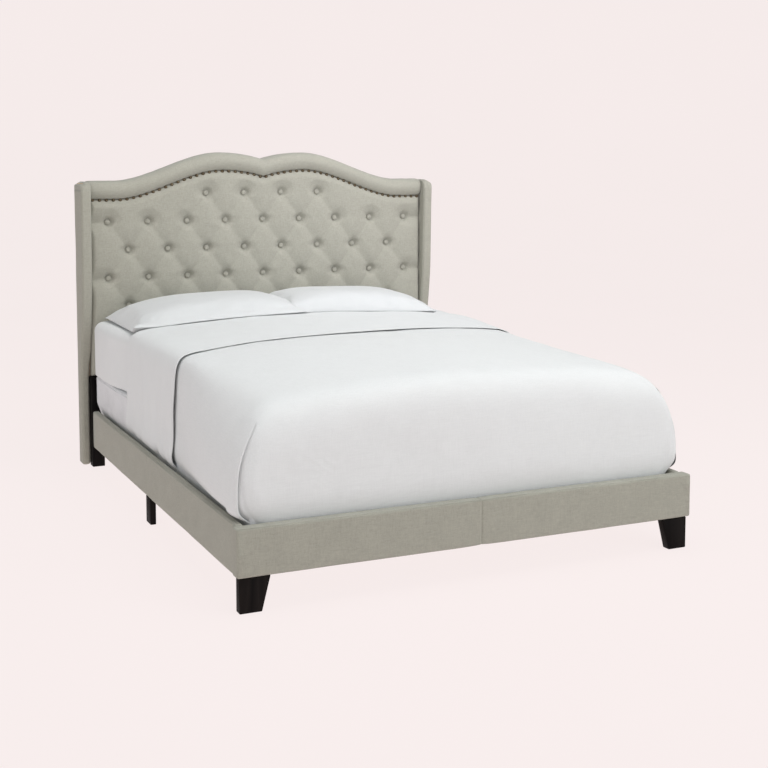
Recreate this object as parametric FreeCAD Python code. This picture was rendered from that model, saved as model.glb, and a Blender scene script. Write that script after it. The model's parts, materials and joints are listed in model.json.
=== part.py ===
import FreeCAD, Part
import os

# Upholstered wingback bed for a queen mattress, in millimetres.
# X runs to the right seen from the foot, Y from the foot to the head, Z up from the floor.
# While modelling, Y is measured from the front face of the foot rail. Each node is moved
# back by half the length on export, so the origin is on the floor under the bed's middle.

Vec = FreeCAD.Vector
ALONG_X = Vec(1, 0, 0)
ALONG_Y = Vec(0, 1, 0)
ALONG_Z = Vec(0, 0, 1)

# overall
LENGTH = 2180.0
RAIL_BOTTOM = 110.0
RAIL_TOP = 264.0
SIDE_RAIL_BOTTOM = 101.0

# foot rail and side rails: timber boards inside padded covers
FOOT_HALF_WIDTH = 830.0
FOOT_THICKNESS = 50.0
SIDE_OUTER = 820.0
SIDE_INNER = 790.0
SIDE_END = 2005.0
RAIL_EDGE_ROUND = 9.0
FOOT_PADDING = 11.0
SIDE_PADDING = 6.5

# legs
FOOT_LEG_TOP_WIDTH = 100.0
FOOT_LEG_BOTTOM_WIDTH = 72.0
FOOT_LEG_INSET = 10.0
FOOT_LEG_DEPTH = 34.0
MID_LEG_OUTER = 814.0
MID_LEG_THICKNESS = 22.0
MID_LEG_FRONT = 1065.0
MID_LEG_WIDTH = 62.0
HEAD_LEG_INNER = 754.0
HEAD_LEG_OUTER = 808.0
HEAD_LEG_FRONT = 2074.0
HEAD_LEG_TOP = 400.0
FOOT_LEG_SCREW_PLACES = (745.0, 798.0)
LEG_SCREW_MARGIN = 15.0
LEG_SCREW_HEAD_Z = 60.0
LEG_SCREW_LENGTH = 110.0
HEAD_LEG_SCREW_HEIGHTS = (140.0, 250.0, 360.0)
HEAD_LEG_SCREW_LENGTH = 55.0

# headboard, front to back
ROLL_FRONT = 2062.0
PAD_FRONT = 2083.0
BUTTON_SEAT = 2103.0
PANEL_FRONT = 2125.0
PANEL_BACK = 2143.0
STUD_BACK = 2171.0
BACK_COVER_FRONT = 2172.0
BACK_COVER_BACK = 2175.0
HEADBOARD_HALF_WIDTH = 799.5
PANEL_BOTTOM = 100.0
PAD_BOTTOM = 402.0
STUD_WIDTH = 55.0
CROSS_RAIL_HEIGHT = 60.0
CROSS_RAIL_BOTTOMS = {"bottom": 230.0, "middle": 700.0, "top": 1120.0}
CROSS_RAIL_SCREW_PLACES = (450.0, 150.0)
CROSS_RAIL_SCREW_LENGTH = 40.0
LOWER_COVER_GAP = 2.0

# headboard crest: level shoulders, a hump each side and a dip in the middle
SHOULDER_Z = 1260.0
SHOULDER_IN = 680.0
HUMP_X = 200.0
HUMP_Z = 1385.0
DIP_Z = 1355.0
CREST_HANDLE = 150.0
DIP_HANDLE_X = 62.0
DIP_HANDLE_RISE = 21.0
ROLL_HEIGHT = 76.0
ROLL_OVER_PANEL = 20.0
NAIL_DROP = 85.0
BACK_COVER_DROP = 10.0

# tufting: rows of covered buttons, alternate rows half a pitch apart
BUTTON_PITCH = 179.6
BUTTON_ROW_GAP = 123.6
BUTTON_TOP_ROW_Z = 1203.0
BUTTON_ROW_COUNTS = (4, 9, 8, 9, 8)
BUTTON_RADIUS = 12.0
BUTTON_HEIGHT = 9.0
POCKET_RADIUS = 34.0
POCKET_SEAT_RADIUS = 13.0

# decorative nails
NAIL_HEAD_RADIUS = 7.8
NAIL_HEAD_HEIGHT = 4.5
NAIL_SHANK_RADIUS = 1.0
NAIL_SHANK_LENGTH = 15.0
NAIL_PITCH = 30.0
NAIL_END_GAP = 14.0

# wings
WING_INNER = 800.0
WING_OUTER = 845.0
WING_TOP = 1257.0
WING_BOTTOM = 4.0
WING_FRONT_TOP = 2030.0
WING_FRONT_MIDDLE = 2040.0
WING_FRONT_BOTTOM = 2105.0
WING_CORNER_RADIUS = 34.0
WING_TOE_RADIUS = 14.0
WING_SWEEP_TOP = 900.0
WING_SWEEP_BOTTOM = 400.0
WING_SWEEP_UPPER_HANDLE = 200.0
WING_SWEEP_LOWER_HANDLE = 120.0
WING_SWEEP_LEAN = 3.0
WING_EDGE_PADDING = 7.0
WING_FACE_PADDING = 12.5
WING_LEG_GAP = 1.5
WING_SCREW_HEIGHTS = (160.0, 520.0, 860.0, 1210.0)
WING_SCREW_BITE = 28.0

# slats and centre support
LEDGER_BOTTOM = 150.0
LEDGER_WIDTH = 30.0
LEDGER_START = 110.0
LEDGER_END = 1890.0
SLAT_BOTTOM = 185.0
SLAT_TOP = 205.0
SLAT_WIDTH = 75.0
SLAT_COUNT = 9
SLAT_FIRST = 160.0
SLAT_LAST = 1840.0
SLAT_END_GAP = 3.0
BEAM_WIDTH = 40.0
BEAM_BOTTOM = 135.0
BEAM_END_GAP = 4.0
CENTRE_LEG_PLACES = {"foot": 550.0, "middle": 1100.0, "head": 1650.0}
CENTRE_LEG_WIDTH = 40.0
CENTRE_LEG_BOTTOM = 22.0
LEVELLER_BASE_RADIUS = 17.0
LEVELLER_BASE_HEIGHT = 10.0
LEVELLER_BASE_TAPER = 4.0
LEVELLER_STEM_RADIUS = 4.0
LEVELLER_STEM_TOP = 60.0
LEVELLER_BORE_RADIUS = 4.1
LEVELLER_BORE_TOP = 75.0
INSERT_RADIUS = 7.0
INSERT_HEIGHT = 14.0
SLAT_SCREW_LENGTH = 45.0
CENTRE_SCREW_LENGTH = 90.0

# steel fittings and screws
PLATE = 3.0
BRACKET_BOTTOM = 122.0
BRACKET_TOP = 182.0
BRACKET_LEG = 50.0
BRACKET_BOLT_MARGIN = 15.0
HEAD_BRACKET_OVERLAP = 105.0
HEAD_BRACKET_BOLT_PLACE = 45.0
HANGER_REACH = 40.0
SIDE_BOLT_LENGTH = 25.0
FOOT_BOLT_LENGTH = 38.0
HEAD_BOLT_LENGTH = 42.0
BOLT_RADIUS = 3.0
BOLT_HOLE_RADIUS = 3.5
BOLT_HEAD_RADIUS = 6.5
BOLT_HEAD_HEIGHT = 4.0
SCREW_RADIUS = 2.5
SCREW_HEAD_RADIUS = 4.5
SCREW_HEAD_DEPTH = 3.0

# bedding
BEDDING_HALF_WIDTH = 772.0
BEDDING_FOOT = 62.0
BEDDING_HEAD = 2070.0
BEDDING_CORNER = 55.0
BOX_SPRING_BOTTOM = 205.5
BOX_SPRING_TOP = 410.0
BOX_COVER_WALL = 3.0
BOX_FRAME_MARGIN = 22.0
BOX_FRAME_HEIGHT = 55.0
BOX_FRAME_BOARD = 20.0
BOX_SLAT_COUNT = 7
BOX_SLAT_WIDTH = 70.0
BOX_SLAT_THICKNESS = 18.0
BOX_COILS = (6, 10)
MATTRESS_BOTTOM = 410.5
MATTRESS_EDGE_TOP = 648.0
MATTRESS_CROWN = 676.0
MATTRESS_WALL = 14.0
MATTRESS_COILS = (9, 12)
TOP_EDGE_RADIUS = 38.0
SOFT_GAP = 0.4
FITTED_SHEET = 1.0
FITTED_SHEET_LIFT = 1.0
COVERLET = 6.0
FLAT_SHEET = 4.0
SKIRT_BOTTOM = 250.0
SKIRT_TUCK_HALF_WIDTH = 774.0
SKIRT_FLARE_HALF_WIDTH = 800.0
SKIRT_FLARE_Z = 340.0
SKIRT_TUCK_Z = 268.0
COVERLET_HEAD = 1120.0
FLAT_SHEET_FOOT = 900.0
FLAT_SHEET_HEAD = 1520.0
COIL_RADIUS = 6.0
COIL_MARGIN = 90.0
PILLOW_BOTTOM = 690.0
PILLOW_HEIGHT = 112.0
PILLOW_WALL = 5.0
PILLOW_FOOT = 1510.0
PILLOW_HEAD = 2056.0
PILLOW_GAP = 6.0
# share of the height, and how far the outline stands in from the seam there
PILLOW_PROFILE = ((0.0, 22.0), (0.22, 0.0), (0.62, 30.0), (0.9, 85.0), (1.0, 150.0))

CUT_MARGIN = 1.0


def box(x0, x1, y0, y1, z0, z1):
    """Block between two corners."""
    return Part.makeBox(x1 - x0, y1 - y0, z1 - z0, Vec(x0, y0, z0))


def mirrored(shape):
    """The same piece on the other side of the bed."""
    return shape.mirror(Vec(0, 0, 0), ALONG_X)


def both_sides(shape):
    return [shape, mirrored(shape)]


def save(node, *solids):
    """Write one node, with Y moved so that the origin is under the middle of the bed."""
    shape = solids[0] if len(solids) == 1 else Part.makeCompound(list(solids))
    shape = shape.copy()
    shape.translate(Vec(0, -LENGTH / 2, 0))
    shape.exportStep("parts/" + node + ".step")


def line(a, b):
    return Part.LineSegment(a, b).toShape()


def bezier(*poles):
    curve = Part.BezierCurve()
    curve.setPoles(list(poles))
    return curve.toShape()


def arc(a, middle, b):
    return Part.Arc(a, middle, b).toShape()


def quarter_arc(start, end, centre):
    """Quarter circle from start to end about centre, on the side away from it."""
    radius = (start - centre).Length
    middle = centre + ((start + end) * 0.5 - centre).normalize() * radius
    return arc(start, middle, end)


def prism(edges, direction):
    """Solid made by pushing a closed outline along a direction."""
    return Part.Face(Part.Wire(edges)).extrude(direction)


def crest_edges(drop, half_width, y):
    """Camel-back top outline from left to right, lowered by drop."""
    def at(x, z):
        return Vec(x, y, z - drop)

    half = [
        ((half_width, SHOULDER_Z), (SHOULDER_IN, SHOULDER_Z)),
        (
            (SHOULDER_IN, SHOULDER_Z),
            (SHOULDER_IN - CREST_HANDLE, SHOULDER_Z),
            (HUMP_X + CREST_HANDLE, HUMP_Z),
            (HUMP_X, HUMP_Z),
        ),
        (
            (HUMP_X, HUMP_Z),
            (HUMP_X - DIP_HANDLE_X, HUMP_Z),
            (DIP_HANDLE_X, DIP_Z + DIP_HANDLE_RISE),
            (0.0, DIP_Z),
        ),
    ]
    left = [bezier(*[at(-x, z) for x, z in poles]) for poles in half]
    right = [bezier(*[at(x, z) for x, z in reversed(poles)]) for poles in reversed(half)]
    return left + right


def under_crest(drop, half_width, bottom, y0, y1):
    """Panel with the crest outline on top and a straight bottom."""
    top_z = SHOULDER_Z - drop
    outline = crest_edges(drop, half_width, y0) + [
        line(Vec(half_width, y0, top_z), Vec(half_width, y0, bottom)),
        line(Vec(half_width, y0, bottom), Vec(-half_width, y0, bottom)),
        line(Vec(-half_width, y0, bottom), Vec(-half_width, y0, top_z)),
    ]
    return prism(outline, Vec(0, y1 - y0, 0))


def crest_band(upper_drop, lower_drop, y0, y1):
    """Band that follows the crest between two drops below it."""
    whole = under_crest(upper_drop, HEADBOARD_HALF_WIDTH, PAD_BOTTOM, y0, y1)
    return whole.cut(under_crest(lower_drop, HEADBOARD_HALF_WIDTH, PAD_BOTTOM, y0, y1))


def fastener(head, direction, length, radius, head_radius, head_height):
    """Screw or bolt: its head starts at head and its shank runs along direction."""
    shank = Part.makeCylinder(radius, length, head, direction)
    return shank.fuse(Part.makeCylinder(head_radius, head_height, head, direction))


def wood_screw(head, direction, length):
    return fastener(head, direction, length, SCREW_RADIUS, SCREW_HEAD_RADIUS, SCREW_HEAD_DEPTH)


def bolt(face, direction, length):
    """Bolt whose head stands on a face and whose shank runs on through it."""
    head = Part.makeCylinder(BOLT_HEAD_RADIUS, BOLT_HEAD_HEIGHT, face, direction * -1)
    return head.fuse(Part.makeCylinder(BOLT_RADIUS, length, face, direction))


def bolt_holes(plate, places, direction):
    for place in places:
        start = place - direction * PLATE
        plate = plate.cut(Part.makeCylinder(BOLT_HOLE_RADIUS, 3 * PLATE, start, direction))
    return plate


def rounded_along(shape, direction, radius):
    """Round the long edges that run along a direction."""
    edges = []
    for edge in shape.Edges:
        run = edge.Vertexes[-1].Point - edge.Vertexes[0].Point
        if abs(run.normalize().dot(direction)) > 0.99:
            edges.append(edge)
    return shape.makeFillet(radius, edges)


def foot_rail():
    outer = box(-FOOT_HALF_WIDTH, FOOT_HALF_WIDTH, 0, FOOT_THICKNESS, RAIL_BOTTOM, RAIL_TOP)
    outer = rounded_along(outer, ALONG_X, RAIL_EDGE_ROUND)
    pad = FOOT_PADDING
    core = box(
        pad - FOOT_HALF_WIDTH, FOOT_HALF_WIDTH - pad,
        pad, FOOT_THICKNESS - pad,
        RAIL_BOTTOM + pad, RAIL_TOP - pad,
    )
    save("foot_rail_board", core)
    save("foot_rail_cover", outer.cut(core))


def side_rails():
    bottom = SIDE_RAIL_BOTTOM
    outer = box(SIDE_INNER, SIDE_OUTER, FOOT_THICKNESS, SIDE_END, bottom, RAIL_TOP)
    outer = rounded_along(outer, ALONG_Y, RAIL_EDGE_ROUND)
    pad = SIDE_PADDING
    core = box(
        SIDE_INNER + pad, SIDE_OUTER - pad,
        FOOT_THICKNESS + pad, SIDE_END - pad,
        bottom + pad, RAIL_TOP - pad,
    )
    cover = outer.cut(core)
    save("side_rail_board_right", core)
    save("side_rail_board_left", mirrored(core))
    save("side_rail_cover_right", cover)
    save("side_rail_cover_left", mirrored(cover))


def foot_legs():
    """Tapered blocks: the outer side is upright and the inner side leans."""
    outer = FOOT_HALF_WIDTH - FOOT_LEG_INSET
    y0 = FOOT_LEG_INSET
    corners = [
        Vec(outer, y0, 0),
        Vec(outer, y0, RAIL_BOTTOM),
        Vec(outer - FOOT_LEG_TOP_WIDTH, y0, RAIL_BOTTOM),
        Vec(outer - FOOT_LEG_BOTTOM_WIDTH, y0, 0),
    ]
    leg = Part.Face(Part.makePolygon(corners + corners[:1])).extrude(Vec(0, FOOT_LEG_DEPTH, 0))
    save("foot_leg_right", leg)
    save("foot_leg_left", mirrored(leg))


def mid_legs():
    leg = box(
        MID_LEG_OUTER - MID_LEG_THICKNESS, MID_LEG_OUTER,
        MID_LEG_FRONT, MID_LEG_FRONT + MID_LEG_WIDTH,
        0, SIDE_RAIL_BOTTOM,
    )
    save("mid_leg_right", leg)
    save("mid_leg_left", mirrored(leg))


def head_legs():
    leg = box(HEAD_LEG_INNER, HEAD_LEG_OUTER, HEAD_LEG_FRONT, PANEL_FRONT, 0, HEAD_LEG_TOP)
    save("head_leg_right", leg)
    save("head_leg_left", mirrored(leg))


def leg_screws():
    """Two screws up through each foot leg and side leg into the rail above."""
    screws = []
    for x in FOOT_LEG_SCREW_PLACES:
        head = Vec(x, FOOT_THICKNESS / 2, LEG_SCREW_HEAD_Z)
        screws += both_sides(wood_screw(head, ALONG_Z, LEG_SCREW_LENGTH))
    for margin in (LEG_SCREW_MARGIN, MID_LEG_WIDTH - LEG_SCREW_MARGIN):
        head = Vec((SIDE_INNER + SIDE_OUTER) / 2, MID_LEG_FRONT + margin, LEG_SCREW_HEAD_Z)
        screws += both_sides(wood_screw(head, ALONG_Z, LEG_SCREW_LENGTH))
    save("leg_screws", *screws)


def headboard_panel():
    panel = under_crest(
        ROLL_OVER_PANEL, HEADBOARD_HALF_WIDTH, PANEL_BOTTOM, PANEL_FRONT, PANEL_BACK
    )
    save("headboard_panel", panel)
    back = under_crest(
        BACK_COVER_DROP, HEADBOARD_HALF_WIDTH, PANEL_BOTTOM, BACK_COVER_FRONT, BACK_COVER_BACK
    )
    save("headboard_back_cover", back)
    half = HEAD_LEG_INNER - LOWER_COVER_GAP
    lower = box(-half, half, PANEL_FRONT - PLATE, PANEL_FRONT, PANEL_BOTTOM,
                PAD_BOTTOM - LOWER_COVER_GAP)
    save("headboard_lower_cover", lower)


def headboard_studs():
    """Upright studs and cross rails screwed to the back of the panel."""
    stud_inner = HEADBOARD_HALF_WIDTH - STUD_WIDTH
    stud = box(stud_inner, HEADBOARD_HALF_WIDTH, PANEL_BACK, STUD_BACK, PANEL_BOTTOM,
               SHOULDER_Z - ROLL_OVER_PANEL)
    save("headboard_stud_right", stud)
    save("headboard_stud_left", mirrored(stud))
    screws = []
    for name, bottom in CROSS_RAIL_BOTTOMS.items():
        rail = box(-stud_inner, stud_inner, PANEL_BACK, STUD_BACK, bottom,
                   bottom + CROSS_RAIL_HEIGHT)
        save("headboard_rail_" + name, rail)
        height = bottom + CROSS_RAIL_HEIGHT / 2
        for x in (stud_inner + STUD_WIDTH / 2, *CROSS_RAIL_SCREW_PLACES):
            head = Vec(x, STUD_BACK, height)
            screws += both_sides(wood_screw(head, ALONG_Y * -1, CROSS_RAIL_SCREW_LENGTH))
    save("headboard_screws", *screws)


def head_leg_screws():
    screws = []
    for z in HEAD_LEG_SCREW_HEIGHTS:
        head = Vec((HEAD_LEG_INNER + HEAD_LEG_OUTER) / 2, PANEL_BACK, z)
        screws += both_sides(wood_screw(head, ALONG_Y * -1, HEAD_LEG_SCREW_LENGTH))
    save("head_leg_screws", *screws)


def button_places():
    """Centres of the tufting buttons, row by row from the top."""
    places = []
    for row, count in enumerate(BUTTON_ROW_COUNTS):
        z = BUTTON_TOP_ROW_Z - row * BUTTON_ROW_GAP
        for column in range(count):
            places.append((BUTTON_PITCH * (column - (count - 1) / 2), z))
    return places


def dome(centre, radius, height):
    """Low cap of a ball with its flat side at centre, facing the foot of the bed."""
    ball_radius = (radius * radius + height * height) / (2 * height)
    ball = Part.makeSphere(ball_radius, centre + Vec(0, ball_radius - height, 0))
    reach = radius + CUT_MARGIN
    keep = box(
        centre.x - reach, centre.x + reach,
        centre.y - height - CUT_MARGIN, centre.y,
        centre.z - reach, centre.z + reach,
    )
    return ball.common(keep)


def tufted_pad():
    pad = under_crest(ROLL_HEIGHT, HEADBOARD_HALF_WIDTH, PAD_BOTTOM, PAD_FRONT, PANEL_FRONT)
    depth = BUTTON_SEAT - PAD_FRONT
    buttons = []
    pockets = []
    for x, z in button_places():
        pockets.append(Part.makeCone(
            POCKET_RADIUS, POCKET_SEAT_RADIUS, depth, Vec(x, PAD_FRONT, z), ALONG_Y
        ))
        buttons.append(dome(Vec(x, BUTTON_SEAT, z), BUTTON_RADIUS, BUTTON_HEIGHT))
    save("tufted_pad", pad.cut(pockets))
    save("tufting_buttons", *buttons)


def border_roll():
    """Padded roll along the crest, over the panel's top edge and down to the nails."""
    front = crest_band(0, ROLL_HEIGHT, ROLL_FRONT, PANEL_FRONT)
    over = crest_band(0, ROLL_OVER_PANEL, PANEL_FRONT, BACK_COVER_FRONT)
    save("border_roll", front.fuse(over).removeSplitter())


def nailheads():
    """Domed nails evenly spaced along the roll's lower edge."""
    path = Part.Wire(crest_edges(NAIL_DROP, HEADBOARD_HALF_WIDTH - NAIL_END_GAP, PAD_FRONT))
    count = int(path.Length / NAIL_PITCH) + 1
    nails = []
    for place in path.discretize(Number=count):
        shank = Part.makeCylinder(NAIL_SHANK_RADIUS, NAIL_SHANK_LENGTH, place, ALONG_Y)
        nails.append(dome(place, NAIL_HEAD_RADIUS, NAIL_HEAD_HEIGHT).fuse(shank))
    save("nailheads", *nails)


def wing_outline(x, inset):
    """Side view of a wing: upright back, rounded top corner and a front that sweeps back."""
    def at(y, z):
        return Vec(x, y, z)

    back = LENGTH - inset
    top = WING_TOP - inset
    bottom = WING_BOTTOM + inset
    front_top = WING_FRONT_TOP + inset
    front_middle = WING_FRONT_MIDDLE + inset
    front_bottom = WING_FRONT_BOTTOM + inset
    corner = WING_CORNER_RADIUS - inset
    toe = WING_TOE_RADIUS - inset
    return [
        line(at(back, bottom), at(back, top)),
        line(at(back, top), at(front_top + corner, top)),
        quarter_arc(at(front_top + corner, top), at(front_top, top - corner),
                    at(front_top + corner, top - corner)),
        line(at(front_top, top - corner), at(front_middle, WING_SWEEP_TOP)),
        bezier(
            at(front_middle, WING_SWEEP_TOP),
            at(front_middle + WING_SWEEP_LEAN, WING_SWEEP_TOP - WING_SWEEP_UPPER_HANDLE),
            at(front_bottom - WING_SWEEP_LEAN, WING_SWEEP_BOTTOM + WING_SWEEP_LOWER_HANDLE),
            at(front_bottom, WING_SWEEP_BOTTOM),
        ),
        line(at(front_bottom, WING_SWEEP_BOTTOM), at(front_bottom, bottom + toe)),
        quarter_arc(at(front_bottom, bottom + toe), at(front_bottom + toe, bottom),
                    at(front_bottom + toe, bottom + toe)),
        line(at(front_bottom + toe, bottom), at(back, bottom)),
    ]


def wings():
    outer = prism(wing_outline(WING_INNER, 0), Vec(WING_OUTER - WING_INNER, 0, 0))
    board_x = WING_INNER + WING_FACE_PADDING
    board_depth = WING_OUTER - WING_INNER - 2 * WING_FACE_PADDING
    board = prism(wing_outline(board_x, WING_EDGE_PADDING), Vec(board_depth, 0, 0))
    gap = WING_LEG_GAP
    leg_notch = box(
        WING_INNER - CUT_MARGIN, HEAD_LEG_OUTER + gap,
        WING_FRONT_TOP, PANEL_FRONT + gap,
        WING_BOTTOM - CUT_MARGIN, HEAD_LEG_TOP + gap,
    )
    cover = outer.cut(board).cut(leg_notch)
    save("wing_board_right", board)
    save("wing_board_left", mirrored(board))
    save("wing_cover_right", cover)
    save("wing_cover_left", mirrored(cover))
    screws = []
    stud_inner = HEADBOARD_HALF_WIDTH - STUD_WIDTH
    for z in WING_SCREW_HEIGHTS:
        head = Vec(stud_inner, (PANEL_BACK + STUD_BACK) / 2, z)
        screws += both_sides(wood_screw(head, ALONG_X, STUD_WIDTH + WING_SCREW_BITE))
    save("wing_screws", *screws)


def corner_brackets():
    """Steel angles that join the side rails to the foot rail, each with four bolts."""
    inner = SIDE_INNER
    foot = FOOT_THICKNESS
    on_side = box(inner - PLATE, inner, foot, foot + BRACKET_LEG, BRACKET_BOTTOM, BRACKET_TOP)
    on_foot = box(inner - BRACKET_LEG, inner, foot, foot + PLATE, BRACKET_BOTTOM, BRACKET_TOP)
    bracket = on_side.fuse(on_foot).removeSplitter()
    bolts = []
    far_hole = BRACKET_LEG - BRACKET_BOLT_MARGIN
    for z in (BRACKET_BOTTOM + BRACKET_BOLT_MARGIN, BRACKET_TOP - BRACKET_BOLT_MARGIN):
        side_place = Vec(inner - PLATE, foot + far_hole, z)
        foot_place = Vec(inner - far_hole, foot + PLATE, z)
        bracket = bolt_holes(bracket, [side_place], ALONG_X)
        bracket = bolt_holes(bracket, [foot_place], ALONG_Y * -1)
        bolts += both_sides(bolt(side_place, ALONG_X, SIDE_BOLT_LENGTH))
        bolts += both_sides(bolt(foot_place, ALONG_Y * -1, FOOT_BOLT_LENGTH))
    save("foot_corner_brackets", *both_sides(bracket))
    save("foot_corner_bolts", *bolts)


def head_brackets():
    """Steel angles that reach from the side rails to the head legs, each with four bolts."""
    inner = SIDE_INNER
    reach = HEAD_LEG_FRONT
    start = SIDE_END - HEAD_BRACKET_OVERLAP
    leg_edge = HEAD_LEG_INNER + LOWER_COVER_GAP
    on_side = box(inner - PLATE, inner, start, reach, BRACKET_BOTTOM, BRACKET_TOP)
    on_leg = box(leg_edge, inner, reach - PLATE, reach, BRACKET_BOTTOM, BRACKET_TOP)
    bracket = on_side.fuse(on_leg).removeSplitter()
    bolts = []
    for z in (BRACKET_BOTTOM + BRACKET_BOLT_MARGIN, BRACKET_TOP - BRACKET_BOLT_MARGIN):
        side_place = Vec(inner - PLATE, start + HEAD_BRACKET_BOLT_PLACE, z)
        leg_place = Vec((leg_edge + inner) / 2, reach - PLATE, z)
        bracket = bolt_holes(bracket, [side_place], ALONG_X)
        bracket = bolt_holes(bracket, [leg_place], ALONG_Y)
        bolts += both_sides(bolt(side_place, ALONG_X, SIDE_BOLT_LENGTH))
        bolts += both_sides(bolt(leg_place, ALONG_Y, HEAD_BOLT_LENGTH))
    save("head_brackets", *both_sides(bracket))
    save("head_bracket_bolts", *bolts)


def slats():
    """Ledgers on the side rails, and slats across them."""
    ledger = box(SIDE_INNER - LEDGER_WIDTH, SIDE_INNER, LEDGER_START, LEDGER_END,
                 LEDGER_BOTTOM, SLAT_BOTTOM)
    save("slat_ledgers", *both_sides(ledger))
    half = SIDE_INNER - SLAT_END_GAP
    pitch = (SLAT_LAST - SLAT_FIRST) / (SLAT_COUNT - 1)
    boards = []
    screws = []
    for index in range(SLAT_COUNT):
        y = SLAT_FIRST + index * pitch
        boards.append(box(-half, half, y - SLAT_WIDTH / 2, y + SLAT_WIDTH / 2,
                          SLAT_BOTTOM, SLAT_TOP))
        head = Vec(SIDE_INNER - LEDGER_WIDTH / 2, y, SLAT_TOP)
        screws += both_sides(wood_screw(head, ALONG_Z * -1, SLAT_SCREW_LENGTH))
    save("slats", *boards)
    save("slat_screws", *screws)
    screws = []
    for index in range(SLAT_COUNT - 1):
        y = SLAT_FIRST + (index + 0.5) * pitch
        head = Vec(SIDE_INNER - LEDGER_WIDTH, y, (LEDGER_BOTTOM + SLAT_BOTTOM) / 2)
        screws += both_sides(wood_screw(head, ALONG_X, SLAT_SCREW_LENGTH))
    save("ledger_screws", *screws)


def centre_support():
    """Beam under the slats, held in a hanger at each end and by three legs."""
    beam_half = BEAM_WIDTH / 2
    beam_start = FOOT_THICKNESS + BEAM_END_GAP
    beam_end = PANEL_FRONT - PLATE - BEAM_END_GAP
    save("centre_beam", box(-beam_half, beam_half, beam_start, beam_end, BEAM_BOTTOM,
                            SLAT_BOTTOM))
    foot_hanger = beam_hanger(FOOT_THICKNESS, 1)
    head_hanger = beam_hanger(PANEL_FRONT - PLATE, -1)
    save("beam_hangers", foot_hanger, head_hanger)
    legs = []
    inserts = []
    screws = []
    leg_half = CENTRE_LEG_WIDTH / 2
    for name, y in CENTRE_LEG_PLACES.items():
        leg = box(-leg_half, leg_half, y - leg_half, y + leg_half, CENTRE_LEG_BOTTOM,
                  BEAM_BOTTOM)
        foot = Vec(0, y, CENTRE_LEG_BOTTOM)
        bore_depth = LEVELLER_BORE_TOP - CENTRE_LEG_BOTTOM
        leg = leg.cut(Part.makeCylinder(LEVELLER_BORE_RADIUS, bore_depth, foot))
        sleeve = Part.makeCylinder(INSERT_RADIUS, INSERT_HEIGHT, foot)
        legs.append(leg.cut(sleeve))
        inserts.append(sleeve.cut(Part.makeCylinder(LEVELLER_BORE_RADIUS, INSERT_HEIGHT, foot)))
        head = Vec(0, y, SLAT_BOTTOM)
        screws.append(wood_screw(head, ALONG_Z * -1, CENTRE_SCREW_LENGTH))
        save("leveller_" + name, leveller(y))
    save("centre_legs", *legs)
    save("leveller_inserts", *inserts)
    save("centre_leg_screws", *screws)


def beam_hanger(wall, direction):
    """Steel saddle on a wall: a back plate, a shelf and two cheeks round the beam's end."""
    beam_half = BEAM_WIDTH / 2
    near, far = sorted((wall, wall + direction * HANGER_REACH))
    back_near, back_far = sorted((wall, wall + direction * PLATE))
    shelf = box(-beam_half - PLATE, beam_half + PLATE, near, far, BEAM_BOTTOM - PLATE,
                BEAM_BOTTOM)
    cheek = box(beam_half, beam_half + PLATE, near, far, BEAM_BOTTOM - PLATE, BRACKET_TOP)
    back = box(-beam_half - PLATE, beam_half + PLATE, back_near, back_far,
               BEAM_BOTTOM - PLATE, BRACKET_TOP)
    return shelf.fuse([cheek, mirrored(cheek), back]).removeSplitter()


def leveller(y):
    """Screw-in levelling foot: a tapered plastic base on a threaded stem."""
    top_radius = LEVELLER_BASE_RADIUS - LEVELLER_BASE_TAPER
    base = Part.makeCone(LEVELLER_BASE_RADIUS, top_radius, LEVELLER_BASE_HEIGHT, Vec(0, y, 0))
    stem = Part.makeCylinder(LEVELLER_STEM_RADIUS, LEVELLER_STEM_TOP, Vec(0, y, 0))
    return base.fuse(stem)


def bedding_section(y, grow, bottom, flared):
    """Cross-section of the made bed: upright or flared sides under a crowned top.

    grow is how far the outline stands outside the bare mattress."""
    half = BEDDING_HALF_WIDTH + grow
    edge_top = MATTRESS_EDGE_TOP + grow
    shoulder = edge_top - TOP_EDGE_RADIUS
    right = [Vec(half, y, shoulder)]
    if flared:
        right += [
            Vec(SKIRT_FLARE_HALF_WIDTH + grow, y, SKIRT_FLARE_Z),
            Vec(SKIRT_TUCK_HALF_WIDTH + grow, y, SKIRT_TUCK_Z),
            Vec(SKIRT_TUCK_HALF_WIDTH + grow, y, bottom),
        ]
    else:
        right += [Vec(half, y, bottom)]
    left = [Vec(-p.x, p.y, p.z) for p in reversed(right)]
    side_right = Part.makePolygon(right).Edges
    side_left = Part.makePolygon(left).Edges
    inner_x = half - TOP_EDGE_RADIUS
    crown = arc(Vec(-inner_x, y, edge_top), Vec(0, y, MATTRESS_CROWN + grow),
                Vec(inner_x, y, edge_top))
    return [
        crown,
        quarter_arc(Vec(inner_x, y, edge_top), right[0], Vec(inner_x, y, shoulder)),
        *side_right,
        line(right[-1], left[0]),
        *side_left,
        quarter_arc(left[-1], Vec(-inner_x, y, edge_top), Vec(-inner_x, y, shoulder)),
    ]


def bedding_block(y0, y1, grow, bottom, flared=False):
    return prism(bedding_section(y0, grow, bottom, flared), Vec(0, y1 - y0, 0))


def plan_block(y0, y1, half, corner, z0, z1):
    """Upright block with rounded corners seen from above."""
    block = box(-half, half, y0, y1, z0, z1)
    return rounded_along(block, ALONG_Z, corner)


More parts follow.
